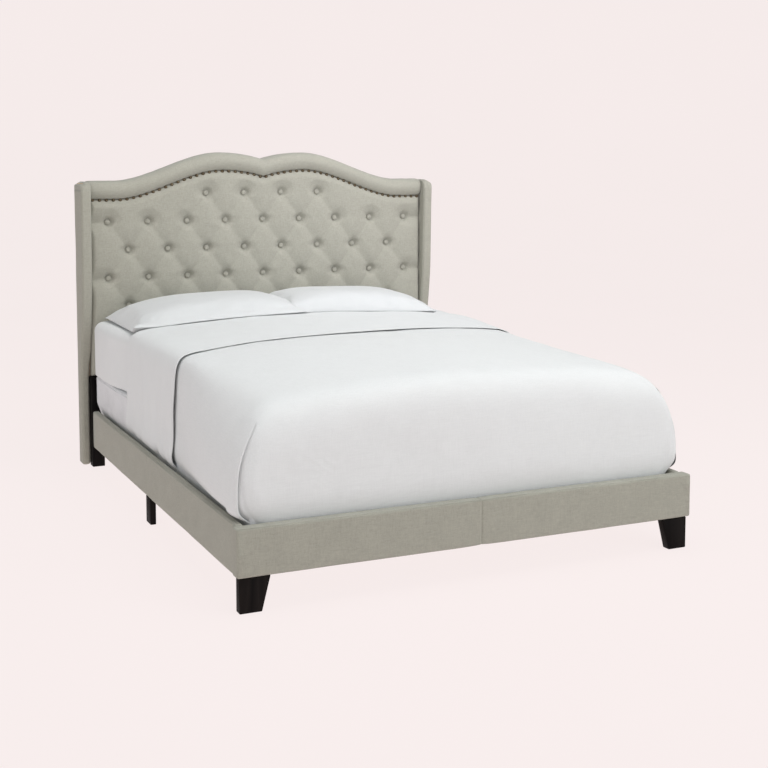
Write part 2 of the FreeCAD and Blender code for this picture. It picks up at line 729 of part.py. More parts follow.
def mattress():
    grow = -MATTRESS_WALL
    outer = bedding_block(BEDDING_FOOT, BEDDING_HEAD, 0, MATTRESS_BOTTOM)
    outer = outer.common(plan_block(BEDDING_FOOT, BEDDING_HEAD, BEDDING_HALF_WIDTH,
                                    BEDDING_CORNER, MATTRESS_BOTTOM, MATTRESS_CROWN))
    hollow_foot = BEDDING_FOOT + MATTRESS_WALL
    hollow_head = BEDDING_HEAD - MATTRESS_WALL
    hollow = bedding_block(hollow_foot, hollow_head, grow, MATTRESS_BOTTOM + MATTRESS_WALL)
    hollow = hollow.common(plan_block(hollow_foot, hollow_head, BEDDING_HALF_WIDTH + grow,
                                      BEDDING_CORNER + grow, MATTRESS_BOTTOM, MATTRESS_CROWN))
    save("mattress", outer.cut(hollow))
    coils = coil_grid(MATTRESS_COILS, MATTRESS_BOTTOM + MATTRESS_WALL,
                      MATTRESS_EDGE_TOP - MATTRESS_WALL)
    save("mattress_springs", *coils)


def coil_grid(counts, bottom, top):
    """Spring unit: one straight rod for each coil, of about the coil's steel."""
    columns, rows = counts
    width = 2 * (BEDDING_HALF_WIDTH - COIL_MARGIN)
    length = BEDDING_HEAD - BEDDING_FOOT - 2 * COIL_MARGIN
    coils = []
    for column in range(columns):
        for row in range(rows):
            x = -width / 2 + width * column / (columns - 1)
            y = BEDDING_FOOT + COIL_MARGIN + length * row / (rows - 1)
            coils.append(Part.makeCylinder(COIL_RADIUS, top - bottom, Vec(x, y, bottom)))
    return coils


def box_spring():
    wall = BOX_COVER_WALL
    outer = plan_block(BEDDING_FOOT, BEDDING_HEAD, BEDDING_HALF_WIDTH, BEDDING_CORNER,
                       BOX_SPRING_BOTTOM, BOX_SPRING_TOP)
    hollow = plan_block(BEDDING_FOOT + wall, BEDDING_HEAD - wall, BEDDING_HALF_WIDTH - wall,
                        BEDDING_CORNER - wall, BOX_SPRING_BOTTOM + wall, BOX_SPRING_TOP - wall)
    save("box_spring_cover", outer.cut(hollow))
    floor = BOX_SPRING_BOTTOM + wall
    board_top = floor + BOX_FRAME_HEIGHT
    half = BEDDING_HALF_WIDTH - BOX_FRAME_MARGIN
    inner = half - BOX_FRAME_BOARD
    foot = BEDDING_FOOT + BOX_FRAME_MARGIN
    head = BEDDING_HEAD - BOX_FRAME_MARGIN
    frame = both_sides(box(inner, half, foot, head, floor, board_top))
    pitch = (head - foot - BOX_SLAT_WIDTH) / (BOX_SLAT_COUNT - 1)
    for index in range(BOX_SLAT_COUNT):
        y = foot + pitch * index
        frame.append(box(-inner, inner, y, y + BOX_SLAT_WIDTH, board_top - BOX_SLAT_THICKNESS,
                         board_top))
    save("box_spring_frame", *frame)
    save("box_spring_coils", *coil_grid(BOX_COILS, board_top, BOX_SPRING_TOP - wall))


def sheet_shell(y0, y1, inner_grow, thickness, bottom, flared):
    """Cloth over the mattress, open below and at the head."""
    outer_grow = inner_grow + thickness
    corner = BEDDING_CORNER
    tall = MATTRESS_CROWN + outer_grow
    wide = SKIRT_FLARE_HALF_WIDTH + outer_grow
    outer = bedding_block(y0, y1, outer_grow, bottom, flared)
    outer = outer.common(plan_block(y0, y1 + 2 * corner, wide, corner, bottom, tall))
    low = bottom - CUT_MARGIN
    hollow = bedding_block(y0 + thickness, y1 + CUT_MARGIN, inner_grow, low, flared)
    hollow = hollow.common(plan_block(y0 + thickness, y1 + 2 * corner, wide - thickness,
                                      corner - thickness, low, tall))
    return outer.cut(hollow)


def sheets():
    grow = SOFT_GAP
    outer_foot = BEDDING_FOOT - grow - FITTED_SHEET
    outer_head = BEDDING_HEAD + grow + FITTED_SHEET
    bottom = MATTRESS_BOTTOM + FITTED_SHEET_LIFT
    half = BEDDING_HALF_WIDTH + grow + FITTED_SHEET
    corner = BEDDING_CORNER + grow + FITTED_SHEET
    tall = MATTRESS_CROWN + grow + FITTED_SHEET
    outer = bedding_block(outer_foot, outer_head, grow + FITTED_SHEET, bottom)
    outer = outer.common(plan_block(outer_foot, outer_head, half, corner, bottom, tall))
    inner_foot = outer_foot + FITTED_SHEET
    inner_head = outer_head - FITTED_SHEET
    low = bottom - CUT_MARGIN
    hollow = bedding_block(inner_foot, inner_head, grow, low)
    hollow = hollow.common(plan_block(inner_foot, inner_head, half - FITTED_SHEET,
                                      corner - FITTED_SHEET, low, tall))
    save("fitted_sheet", outer.cut(hollow))
    coverlet_grow = grow + FITTED_SHEET + SOFT_GAP
    coverlet_foot = outer_foot - SOFT_GAP - COVERLET
    save("coverlet", sheet_shell(coverlet_foot, COVERLET_HEAD, coverlet_grow, COVERLET,
                                 SKIRT_BOTTOM, True))
    sheet_grow = coverlet_grow + COVERLET + SOFT_GAP
    sheet_outer = bedding_block(FLAT_SHEET_FOOT, FLAT_SHEET_HEAD, sheet_grow + FLAT_SHEET,
                                SKIRT_BOTTOM, True)
    sheet_inner = bedding_block(FLAT_SHEET_FOOT - CUT_MARGIN, FLAT_SHEET_HEAD + CUT_MARGIN,
                                sheet_grow, SKIRT_BOTTOM - CUT_MARGIN, True)
    save("flat_sheet", sheet_outer.cut(sheet_inner))


def pillow(x0, x1, y0, y1):
    """Flat-bottomed cushion, widest at its seam and drawn in towards the top."""
    outer = pillow_block(x0, x1, y0, y1, PILLOW_BOTTOM, PILLOW_HEIGHT)
    wall = PILLOW_WALL
    hollow = pillow_block(x0 + wall, x1 - wall, y0 + wall, y1 - wall, PILLOW_BOTTOM + wall,
                          PILLOW_HEIGHT - 2 * wall)
    return outer.cut(hollow)


def pillow_block(x0, x1, y0, y1, bottom, height):
    """Stack of shrinking rectangles, lofted."""
    wires = []
    for share, inset in PILLOW_PROFILE:
        z = bottom + share * height
        corners = [
            Vec(x0 + inset, y0 + inset, z), Vec(x1 - inset, y0 + inset, z),
            Vec(x1 - inset, y1 - inset, z), Vec(x0 + inset, y1 - inset, z),
        ]
        wires.append(Part.makePolygon(corners + corners[:1]))
    return Part.makeLoft(wires, True, True)


def pillows():
    shape = pillow(PILLOW_GAP / 2, BEDDING_HALF_WIDTH, PILLOW_FOOT, PILLOW_HEAD)
    save("pillow_right", shape)
    save("pillow_left", mirrored(shape))


def main():
    os.makedirs("parts", exist_ok=True)
    foot_rail()
    side_rails()
    foot_legs()
    mid_legs()
    head_legs()
    leg_screws()
    headboard_panel()
    headboard_studs()
    head_leg_screws()
    tufted_pad()
    border_roll()
    nailheads()
    wings()
    corner_brackets()
    head_brackets()
    slats()
    centre_support()
    box_spring()
    mattress()
    sheets()
    pillows()


main()
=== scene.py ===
import json
import math

import bpy
import numpy as np
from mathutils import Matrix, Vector


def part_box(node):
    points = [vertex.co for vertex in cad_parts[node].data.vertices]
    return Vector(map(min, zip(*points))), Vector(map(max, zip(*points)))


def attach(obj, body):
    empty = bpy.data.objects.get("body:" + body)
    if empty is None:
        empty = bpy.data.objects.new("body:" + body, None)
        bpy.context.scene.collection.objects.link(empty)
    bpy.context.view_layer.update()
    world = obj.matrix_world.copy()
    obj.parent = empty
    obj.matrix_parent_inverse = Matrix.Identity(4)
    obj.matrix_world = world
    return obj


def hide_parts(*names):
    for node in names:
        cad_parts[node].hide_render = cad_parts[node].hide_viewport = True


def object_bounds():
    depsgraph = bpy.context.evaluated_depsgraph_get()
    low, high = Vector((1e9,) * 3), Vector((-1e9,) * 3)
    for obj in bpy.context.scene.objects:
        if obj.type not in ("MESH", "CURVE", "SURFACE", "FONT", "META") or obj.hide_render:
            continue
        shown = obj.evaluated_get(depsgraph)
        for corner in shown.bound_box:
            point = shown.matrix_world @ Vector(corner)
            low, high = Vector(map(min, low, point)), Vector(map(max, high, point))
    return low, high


# Upholstered wingback bed with a made-up queen mattress, in metres.
# X runs to the right seen from the foot, Y from the foot to the headboard, Z up.

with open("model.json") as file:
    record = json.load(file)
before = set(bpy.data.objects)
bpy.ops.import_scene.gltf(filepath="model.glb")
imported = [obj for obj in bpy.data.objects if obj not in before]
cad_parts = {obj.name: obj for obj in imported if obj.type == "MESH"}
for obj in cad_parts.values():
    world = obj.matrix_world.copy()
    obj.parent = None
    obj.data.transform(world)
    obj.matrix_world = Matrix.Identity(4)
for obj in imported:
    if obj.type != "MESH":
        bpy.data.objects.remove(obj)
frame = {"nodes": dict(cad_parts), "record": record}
cad_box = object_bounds()

FOOT_Y = cad_box[0].y


# ---------------------------------------------------------------- numbers and curves

def smoothstep(a, b, x):
    t = np.clip((x - a) / (b - a), 0.0, 1.0)
    return t * t * (3 - 2 * t)


def mix(a, b, t):
    return a + (b - a) * t


def arc_drop(reach, radius):
    """How far a round edge has fallen, reach past where it starts."""
    return radius - np.sqrt(np.maximum(radius ** 2 - np.maximum(reach, 0) ** 2, 0))


def ripple(coords, size, seed, waves=9):
    """Smooth random field of about -1 to 1 whose bumps are about size across."""
    random = np.random.RandomState(seed)
    total = np.zeros(coords.shape[:-1])
    for _ in range(waves):
        direction = random.normal(size=coords.shape[-1])
        direction /= np.linalg.norm(direction)
        frequency = 2 * math.pi / (size * random.uniform(1.2, 3.0))
        total += np.sin(coords @ direction * frequency + random.uniform(0, 2 * math.pi))
    return total / math.sqrt(waves) * 0.8


def bezier(points, count):
    """Points along a cubic curve."""
    t = np.linspace(0, 1, count)[:, None]
    a, b, c, d = (np.array(p, float) for p in points)
    return a * (1 - t) ** 3 + 3 * b * t * (1 - t) ** 2 + 3 * c * t * t * (1 - t) + d * t ** 3


def smooth_path(points, count):
    """Even points along a smooth curve through the given ones, and its length."""
    points = np.array(points, float)
    ends = np.vstack([2 * points[0] - points[1], points, 2 * points[-1] - points[-2]])
    t = np.linspace(0, 1, 24, endpoint=False)[:, None]
    runs = []
    for a, b, c, d in zip(ends, ends[1:], ends[2:], ends[3:]):
        runs.append(0.5 * (2 * b + (c - a) * t + (2 * a - 5 * b + 4 * c - d) * t ** 2
                           + (3 * b - a - 3 * c + d) * t ** 3))
    curve = np.vstack(runs + [points[-1:]])
    steps = np.r_[0, np.cumsum(np.linalg.norm(np.diff(curve, axis=0), axis=1))]
    even = np.linspace(0, steps[-1], count)
    return np.stack([np.interp(even, steps, curve[:, k]) for k in range(2)], 1), steps[-1]


def closed_path(points, count):
    """Even points round a smooth closed curve through the given ones."""
    points = list(points)
    curve, _ = smooth_path(points[-3:] + points + points[:4], 6 * count)
    lengths = np.r_[0, np.cumsum(np.linalg.norm(np.diff(curve, axis=0), axis=1))]
    start = np.argmin(np.linalg.norm(curve - points[0], axis=1)[: 3 * count])
    stop = 3 * count + np.argmin(np.linalg.norm(curve - points[0], axis=1)[3 * count:])
    even = np.linspace(lengths[start], lengths[stop], count, endpoint=False)
    return np.stack([np.interp(even, lengths, curve[:, k]) for k in range(2)], 1)


def spaced(low, high, step, fine=(), fine_step=0.002, fine_reach=0.02):
    """Stations from low to high, closer together near the fine places."""
    places = [np.linspace(low, high, max(2, int(round((high - low) / step)) + 1))]
    for place in fine:
        near = np.arange(place - fine_reach, place + fine_reach + 1e-9, fine_step)
        places.append(near[(near > low) & (near < high)])
    stations = np.unique(np.round(np.concatenate(places), 5))
    keep = [stations[0]]
    for station in stations[1:-1]:
        if station - keep[-1] > fine_step * 0.6 and stations[-1] - station > fine_step * 0.6:
            keep.append(station)
    return np.array(keep + [stations[-1]])


# ---------------------------------------------------------------- meshes

def new_piece(name, points, faces):
    mesh = bpy.data.meshes.new(name)
    mesh.from_pydata(np.asarray(points, float).reshape(-1, 3).tolist(), [], faces)
    mesh.validate()
    mesh.shade_smooth()
    piece = bpy.data.objects.new(name, mesh)
    bpy.context.scene.collection.objects.link(piece)
    return piece


def points_of(piece):
    return np.array([v.co for v in piece.data.vertices])


def move_points(piece, points):
    piece.data.vertices.foreach_set("co", points.astype(np.float32).ravel())
    piece.data.update()


def grid_faces(rows, columns, start=0, round_rows=False, round_columns=False, flip=False):
    """Quads of a grid whose points run row by row."""
    faces = []
    for r in range(rows if round_rows else rows - 1):
        for c in range(columns if round_columns else columns - 1):
            r1, c1 = (r + 1) % rows, (c + 1) % columns
            face = [start + r * columns + c, start + r * columns + c1,
                    start + r1 * columns + c1, start + r1 * columns + c]
            faces.append(face[::-1] if flip else face)
    return faces


def grid_border(rows, columns):
    """Indices round the edge of a grid."""
    last = (rows - 1) * columns
    return (list(range(columns))
            + [r * columns + columns - 1 for r in range(1, rows)]
            + [last + c for c in range(columns - 2, -1, -1)]
            + [r * columns for r in range(rows - 2, 0, -1)])


def outward(piece):
    """Make the faces of a closed piece look out."""
    mesh = piece.data
    volume = 0.0
    for face in mesh.polygons:
        a = mesh.vertices[face.vertices[0]].co
        for b, c in zip(face.vertices[1:], face.vertices[2:]):
            volume += a.dot(mesh.vertices[b].co.cross(mesh.vertices[c].co))
    if volume < 0:
        mesh.flip_normals()
    return piece


def loft(name, rings):
    """Closed body through rings of equal, even count; each end is closed by cross strips."""
    rings = np.asarray(rings, float)
    rows, count = rings.shape[:2]
    faces = grid_faces(rows, count, round_columns=True)
    last = (rows - 1) * count
    half = count // 2
    for start, turn in ((0, True), (last, False)):
        for i in range(half - 1):
            face = [start + i, start + i + 1, start + count - 2 - i, start + count - 1 - i]
            faces.append(face[::-1] if turn else face)
    return outward(new_piece(name, rings, faces))


def relaxed(surface, rounds):
    """Grid with its creases smoothed out; the border stays."""
    surface = surface.copy()
    for _ in range(rounds):
        inner = surface[1:-1, 1:-1]
        near = (surface[:-2, 1:-1] + surface[2:, 1:-1] + surface[1:-1, :-2] + surface[1:-1, 2:])
        surface[1:-1, 1:-1] = inner * 0.5 + near * 0.125
    return surface


def normals_of(surface):
    """Unit normals of a grid of points, across rows and columns."""
    along = np.gradient(surface, axis=0)
    across = np.gradient(surface, axis=1)
    normal = np.cross(across, along)
    return normal / np.maximum(np.linalg.norm(normal, axis=2, keepdims=True), 1e-9)


def settle(piece, body, slot_name, *nodes):
    """Give a piece the material of its slot and its body, and hide the CAD nodes that it stands
    for.
    """
    piece.data.materials.append(materials[slot_name])
    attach(piece, body)
    if nodes:
        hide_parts(*nodes)
    return piece


def rounded_box(name, low, high, radius, swell=0.0, bottom=None, step=0.03):
    """Closed padded block: rounded edges, tighter ones below if asked, crowned by swell."""
    low, high = np.array(low, float), np.array(high, float)
    axes = [spaced(low[k], high[k], step, (low[k], high[k]), radius / 5, radius * 1.2)
            for k in range(3)]
    index = {}
    points = []
    faces = []

    def at(i, j, k):
        key = (i, j, k)
        if key not in index:
            index[key] = len(points)
            points.append((axes[0][i], axes[1][j], axes[2][k]))
        return index[key]

    sizes = [len(a) for a in axes]
    for axis in range(3):
        u, v = (axis + 1) % 3, (axis + 2) % 3
        for end in (0, sizes[axis] - 1):
            for i in range(sizes[u] - 1):
                for j in range(sizes[v] - 1):
                    corners = []
                    for du, dv in ((0, 0), (1, 0), (1, 1), (0, 1)):
                        key = [0, 0, 0]
                        key[axis], key[u], key[v] = end, i + du, j + dv
                        corners.append(at(*key))
                    faces.append(corners if end else corners[::-1])
    p = np.array(points)
    core = np.clip(p, low + radius, high - radius)
    away = p - core
    away /= np.maximum(np.linalg.norm(away, axis=1, keepdims=True), 1e-9)
    share = (p - (low + high) / 2) / ((high - low) / 2)
    crown = np.prod(1 - np.where(np.abs(away) > 0.6, 0, share ** 4), axis=1)
    placed = core + away * (radius + swell * crown[:, None])
    if bottom:
        under = away[:, 2] < -1e-4
        flat = np.hypot(away[:, 0], away[:, 1])
        outward_share = np.where(flat > 1e-3, (radius - bottom) / np.maximum(flat, 1e-3), 0)
        for k in range(2):
            tight = core[:, k] + away[:, k] * (outward_share + bottom)
            placed[:, k] = np.where(under, tight, placed[:, k])
        tight = low[2] + bottom * (1 + away[:, 2])
        placed[:, 2] = np.where(under, tight, placed[:, 2])
    return new_piece(name, placed, faces)


def tube(name, path, radius, sides=8, closed=True):
    """Round cord along a path of points."""
    path = np.asarray(path, float)
    ahead = np.roll(path, -1, 0) - np.roll(path, 1, 0)
    if not closed:
        ahead[0], ahead[-1] = path[1] - path[0], path[-1] - path[-2]
    ahead /= np.linalg.norm(ahead, axis=1, keepdims=True)
    side = np.cross(ahead, (0, 0, 1.0))
    side /= np.maximum(np.linalg.norm(side, axis=1, keepdims=True), 1e-9)
    up = np.cross(side, ahead)
    angles = np.linspace(0, 2 * math.pi, sides, endpoint=False)
    rings = (path[:, None] + radius * (np.cos(angles)[None, :, None] * side[:, None]
                                       + np.sin(angles)[None, :, None] * up[:, None]))
    faces = grid_faces(len(path), sides, round_rows=closed, round_columns=True)
    return outward(new_piece(name, rings, faces))


def join(name, parts):
    """One piece from several meshes."""
    points = []
    faces = []
    for part in parts:
        start = len(points)
        points += points_of(part).tolist()
        faces += [[start + i for i in f.vertices] for f in part.data.polygons]
        bpy.data.objects.remove(part)
    return new_piece(name, points, faces)


def repeated(name, places, profile, sides, gathers=0.0):
    """Turned pieces that face the foot of the bed: profile is (radius, rise) from the rim in."""
    points = []
    faces = []
    angles = np.linspace(0, 2 * math.pi, sides, endpoint=False)
    for number, (x, y, z) in enumerate(places):
        start = len(points)
        for radius, rise in profile:
            for angle in angles:
                pinch = 1 + gathers * math.cos(5 * angle + number)
                points.append((x + radius * pinch * math.cos(angle), y - rise,
                               z + radius * pinch * math.sin(angle)))
        faces += grid_faces(len(profile), sides, start, round_columns=True, flip=True)
        faces.append([start + i for i in range(sides)])
        last = start + (len(profile) - 1) * sides
        faces.append([last + i for i in range(sides)][::-1])
    return outward(new_piece(name, points, faces))


def clusters(node, axes, gap):
    """Boxes of a CAD node's separate solids, split wherever an axis has a gap."""
    points = points_of(frame["nodes"][node])
    groups = [points]
    for axis in axes:
        parted = []
        for group in groups:
            group = group[np.argsort(group[:, axis])]
            cuts = np.nonzero(np.diff(group[:, axis]) > gap)[0] + 1
            parted += np.split(group, cuts)
        groups = parted
    return [(g.min(0), g.max(0)) for g in groups]


# ---------------------------------------------------------------- materials

class Shader:
    """A Principled material with short names for adding nodes."""

    def __init__(self, name, color, roughness, **sockets):
        self.material = bpy.data.materials.new(name)
        self.material.use_nodes = True
        self.material.diffuse_color = (*color, 1)
        self.nodes = self.material.node_tree.nodes
        self.links = self.material.node_tree.links
        self.bsdf = next(n for n in self.nodes if n.type == "BSDF_PRINCIPLED")
        self.bsdf.inputs["Roughness"].default_value = roughness
        for socket, value in sockets.items():
            self.bsdf.inputs[socket.replace("_", " ")].default_value = value
        self.coords = self.nodes.new("ShaderNodeTexCoord").outputs["Object"]

    def put(self, socket, value):
        if isinstance(value, bpy.types.NodeSocket):
            self.links.new(value, socket)
        else:
            socket.default_value = value

    def math(self, operation, a, b=0.0, c=0.0):
        node = self.nodes.new("ShaderNodeMath")
        node.operation = operation
        for socket, value in zip(node.inputs, (a, b, c)):
            self.put(socket, value)
        return node.outputs[0]

    def total(self, a, b, c):
        return self.math("ADD", self.math("ADD", a, b), c)

    def scaled(self, scale):
        node = self.nodes.new("ShaderNodeMapping")
        self.put(node.inputs["Vector"], self.coords)
        node.inputs["Scale"].default_value = scale
        return node.outputs[0]

    def noise(self, vector, scale=1.0, detail=2.0, roughness=0.5, distortion=0.0):
        node = self.nodes.new("ShaderNodeTexNoise")
        self.put(node.inputs["Vector"], vector)
        node.inputs["Scale"].default_value = scale
        node.inputs["Detail"].default_value = detail
        node.inputs["Roughness"].default_value = roughness
        node.inputs["Distortion"].default_value = distortion
        return node.outputs[0]

    def ramp(self, value, *stops):
        node = self.nodes.new("ShaderNodeValToRGB")
        self.put(node.inputs[0], value)
        elements = node.color_ramp.elements
        while len(elements) < len(stops):
            elements.new(0.5)
        for element, (place, color) in zip(elements, stops):
            element.position = place
            element.color = (*color, 1) if len(color) == 3 else color
        return node.outputs[0]

    def range(self, value, a, b, c, d):
        node = self.nodes.new("ShaderNodeMapRange")
        self.put(node.inputs[0], value)
        for i, number in enumerate((a, b, c, d)):
            node.inputs[i + 1].default_value = number
        return node.outputs[0]

    def bump(self, height, strength, distance):
        node = self.nodes.new("ShaderNodeBump")
        node.inputs["Strength"].default_value = strength
        node.inputs["Distance"].default_value = distance
        self.put(node.inputs["Height"], height)
        return node.outputs[0]

    def finish(self, color, normal=None, roughness=None):
        self.put(self.bsdf.inputs["Base Color"], color)
        if normal:
            self.put(self.bsdf.inputs["Normal"], normal)
        if roughness:
            self.put(self.bsdf.inputs["Roughness"], roughness)
        return self.material


def shade(color, factor):
    return tuple(min(1.0, c * factor) for c in color)


def woven(name, color, pitch, slub, contrast, depth, sheen, warmth=(1, 1, 1), mottle=0.03):
    """Plain weave: threads along each axis, thick and thin places, and a soft mottling."""
    s = Shader(name, color, 0.9, Sheen_Weight=sheen, Sheen_Roughness=0.5,
               Specular_IOR_Level=0.25)
    width = 1 / (pitch * 1.6)
    along = 1 / slub
    scales = ((along, width, width), (width, along, width), (width, width, along))
    streaks = [s.noise(s.scaled(scale), detail=2.5, roughness=0.65) for scale in scales]
    threads = s.total(*streaks)
    heather = s.range(threads, 1.15, 1.85, 0.0, 1.0)
    patches = s.noise(s.coords, 1 / 0.07, 3.0)
    tone = s.math("ADD", heather, s.math("MULTIPLY", s.math("SUBTRACT", patches, 0.5),
                                         mottle / max(contrast, 1e-3) * 4))
    dark = shade(color, 1 - contrast)
    light = tuple(min(1.0, c * (1 + contrast) * w) for c, w in zip(color, warmth))
    base = s.ramp(tone, (0.0, dark), (0.5, color), (1.0, light))
    split = s.nodes.new("ShaderNodeSeparateXYZ")
    s.put(split.inputs[0], s.coords)
    waves = [s.math("SINE", s.math("MULTIPLY", split.outputs[k], 2 * math.pi / pitch))
             for k in range(3)]
    pairs = [s.math("MULTIPLY", waves[i], waves[j]) for i, j in ((0, 1), (1, 2), (2, 0))]
    checks = s.total(*pairs)
    height = s.math("ADD", s.math("MULTIPLY", checks, 0.35), s.math("MULTIPLY", threads, 1.0))
    return s.finish(base, s.bump(height, 0.6, depth))


def wooden(name, dark, light, rings, roughness, axis, shine=0.25):
    """Board grain: long rings along one axis and fine pores."""
    s = Shader(name, light, roughness, Specular_IOR_Level=shine)
    scale = [1.0, 1.0, 1.0]
    scale[axis] = 0.12
    stretched = s.scaled(tuple(scale))
    warp = s.noise(stretched, 9.0, 3.0, 0.55, 0.6)
    ring = s.math("FRACT", s.math("MULTIPLY", warp, rings))
    soft = s.math("ABSOLUTE", s.math("SUBTRACT", ring, 0.5))
    pores = [220.0, 220.0, 220.0]
    pores[axis] = 14.0
    fine = s.noise(s.scaled(tuple(pores)), 1.0, 2.0, 0.6)
    tone = s.math("ADD", s.math("MULTIPLY", soft, 1.3), s.math("MULTIPLY", fine, 0.35))
    color = s.ramp(tone, (0.15, dark), (0.85, light))
    rough = s.range(fine, 0.3, 0.7, roughness - 0.08, roughness + 0.1)
    return s.finish(color, s.bump(tone, 0.25, 0.0006), rough)


def metal(name, dark, light, metallic, roughness, size, depth=0.0002):
    """Metal or paint over metal with tarnish patches and fine unevenness."""
    s = Shader(name, light, roughness, Metallic=metallic, Specular_IOR_Level=0.5)
    patches = s.noise(s.coords, 1 / size, 4.0, 0.6)
    fine = s.noise(s.coords, 6 / size, 2.0)
    color = s.ramp(patches, (0.35, dark), (0.65, light))
    rough = s.range(patches, 0.3, 0.7, roughness + 0.12, roughness - 0.08)
    return s.finish(color, s.bump(fine, 0.3, depth), rough)


def plastic(name, color, roughness):
    s = Shader(name, color, roughness, Specular_IOR_Level=0.4)
    grain = s.noise(s.coords, 900.0, 2.0)
    cloud = s.noise(s.coords, 30.0, 2.0)
    base = s.ramp(cloud, (0.3, shade(color, 0.8)), (0.7, shade(color, 1.3)))
    return s.finish(base, s.bump(grain, 0.3, 0.0002))


def make_materials():
    linen = (0.375, 0.367, 0.312)
    white = (0.806, 0.82, 0.822)
    return {
        "linen": woven(
            "linen_weave", linen, pitch=0.0016, slub=0.022, contrast=0.12, depth=0.0006,
            sheen=0.2, warmth=(1.0, 1.0, 0.99), mottle=0.006),
        "white_slub_cotton": woven(
            "slub_cotton", (0.785, 0.797, 0.799), pitch=0.0018, slub=0.045, contrast=0.035,
            depth=0.0006, sheen=0.12, mottle=0.004),
        "white_percale": woven(
            "percale", shade(white, 0.95), pitch=0.0008, slub=0.012, contrast=0.02,
            depth=0.0002, sheen=0.1, mottle=0.006),
        "white_pillowcase": woven(
            "pillowcase", shade(white, 0.83), pitch=0.0009, slub=0.015, contrast=0.02,
            depth=0.0002, sheen=0.12, mottle=0.008),
        "ticking": woven(
            "ticking", (0.74, 0.745, 0.76), pitch=0.0012, slub=0.01, contrast=0.06,
            depth=0.0004, sheen=0.1),
        "espresso_wood": wooden(
            "espresso_stain", (0.003, 0.002, 0.002), (0.012, 0.009, 0.008),
            rings=5.0, roughness=0.6, axis=2, shine=0.09),
        "softwood": wooden(
            "pine", (0.50, 0.33, 0.17), (0.78, 0.60, 0.39), rings=6.0, roughness=0.62, axis=0),
        "plywood": wooden(
            "birch_ply", (0.52, 0.38, 0.23), (0.72, 0.56, 0.37), rings=3.0, roughness=0.6, axis=2),
        "antique_bronze": metal(
            "antique_bronze", (0.035, 0.027, 0.018), (0.20, 0.155, 0.10),
            metallic=0.9, roughness=0.38, size=0.004, depth=0.0003),
        "black_steel": metal(
            "black_steel", (0.012, 0.012, 0.013), (0.03, 0.03, 0.032),
            metallic=0.4, roughness=0.45, size=0.01),
        "zinc_steel": metal(
            "zinc_steel", (0.42, 0.42, 0.40), (0.68, 0.68, 0.66),
            metallic=1.0, roughness=0.35, size=0.006),
        "spring_steel": metal(
            "spring_steel", (0.22, 0.22, 0.23), (0.42, 0.42, 0.43),
            metallic=1.0, roughness=0.4, size=0.01),
        "black_plastic": plastic("black_plastic", (0.02, 0.02, 0.021), roughness=0.5),
    }


materials = make_materials()


# ---------------------------------------------------------------- headboard outline

SHOULDER_IN = 0.680
HUMP_X = 0.200
HUMP_RISE = 0.125
DIP_DEPTH = 0.030
CREST_HANDLE = 0.150
DIP_HANDLE_X = 0.062
DIP_HANDLE_RISE = 0.021
ROLL_HEIGHT = 0.076
NAIL_DROP = 0.085

roll_low, roll_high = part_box("border_roll")
pad_low, pad_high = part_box("tufted_pad")
HALF_BOARD = roll_high.x
HUMP_Z = roll_high.z
SHOULDER_Z = HUMP_Z - HUMP_RISE
DIP_Z = HUMP_Z - DIP_DEPTH
PANEL_Y = pad_high.y
PAD_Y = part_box("nailheads")[0].y + 0.0045


def crest_curve():
    outer = bezier(((SHOULDER_IN, SHOULDER_Z), (SHOULDER_IN - CREST_HANDLE, SHOULDER_Z),
                    (HUMP_X + CREST_HANDLE, HUMP_Z), (HUMP_X, HUMP_Z)), 60)
    inner = bezier(((HUMP_X, HUMP_Z), (HUMP_X - DIP_HANDLE_X, HUMP_Z),
                    (DIP_HANDLE_X, DIP_Z + DIP_HANDLE_RISE), (0.0, DIP_Z)), 60)
    return np.vstack([outer, inner[1:]])[::-1]


CREST = crest_curve()


def crest(x):
    """Height of the headboard's top edge."""
    return np.interp(np.abs(x), CREST[:, 0], CREST[:, 1])


# ---------------------------------------------------------------- headboard

PAD_CROWN = 0.012
PAD_STEP = 0.0065
PAD_ROWS = 150
LEVEL_ROWS = 0.82
BUTTON_SEAT = 0.020
FOLD_REACH = 0.074
FOLD_SHARPNESS = 1.9
FOLD_DEPTH = 0.017
POCKET_REACH = 0.034
CONE_REACH = 0.068
CONE_SHARPNESS = 1.25
PUCKERS = 9
PUCKER_DEPTH = 0.0009
NAIL_PULL_REACH = 0.034
ROLL_GROOVE = 0.016
EDGE_ROUND = 0.022
EDGE_DEPTH = 0.020
PANEL_CLEARANCE = 0.001
# each kind of fold: its share of FOLD_DEPTH, how far its middle rises, and how it fades
DIAGONAL_FOLD = (1.0, 0.42, 0.0)
LEVEL_FOLD = (0.8, 0.9378, 0.0)
SIDE_PLEAT = (1.35, 0.0, 0.2)


def button_centres():
    return [((low[0] + high[0]) / 2, (low[2] + high[2]) / 2)
            for low, high in clusters("tufting_buttons", (2, 0), 0.02)]


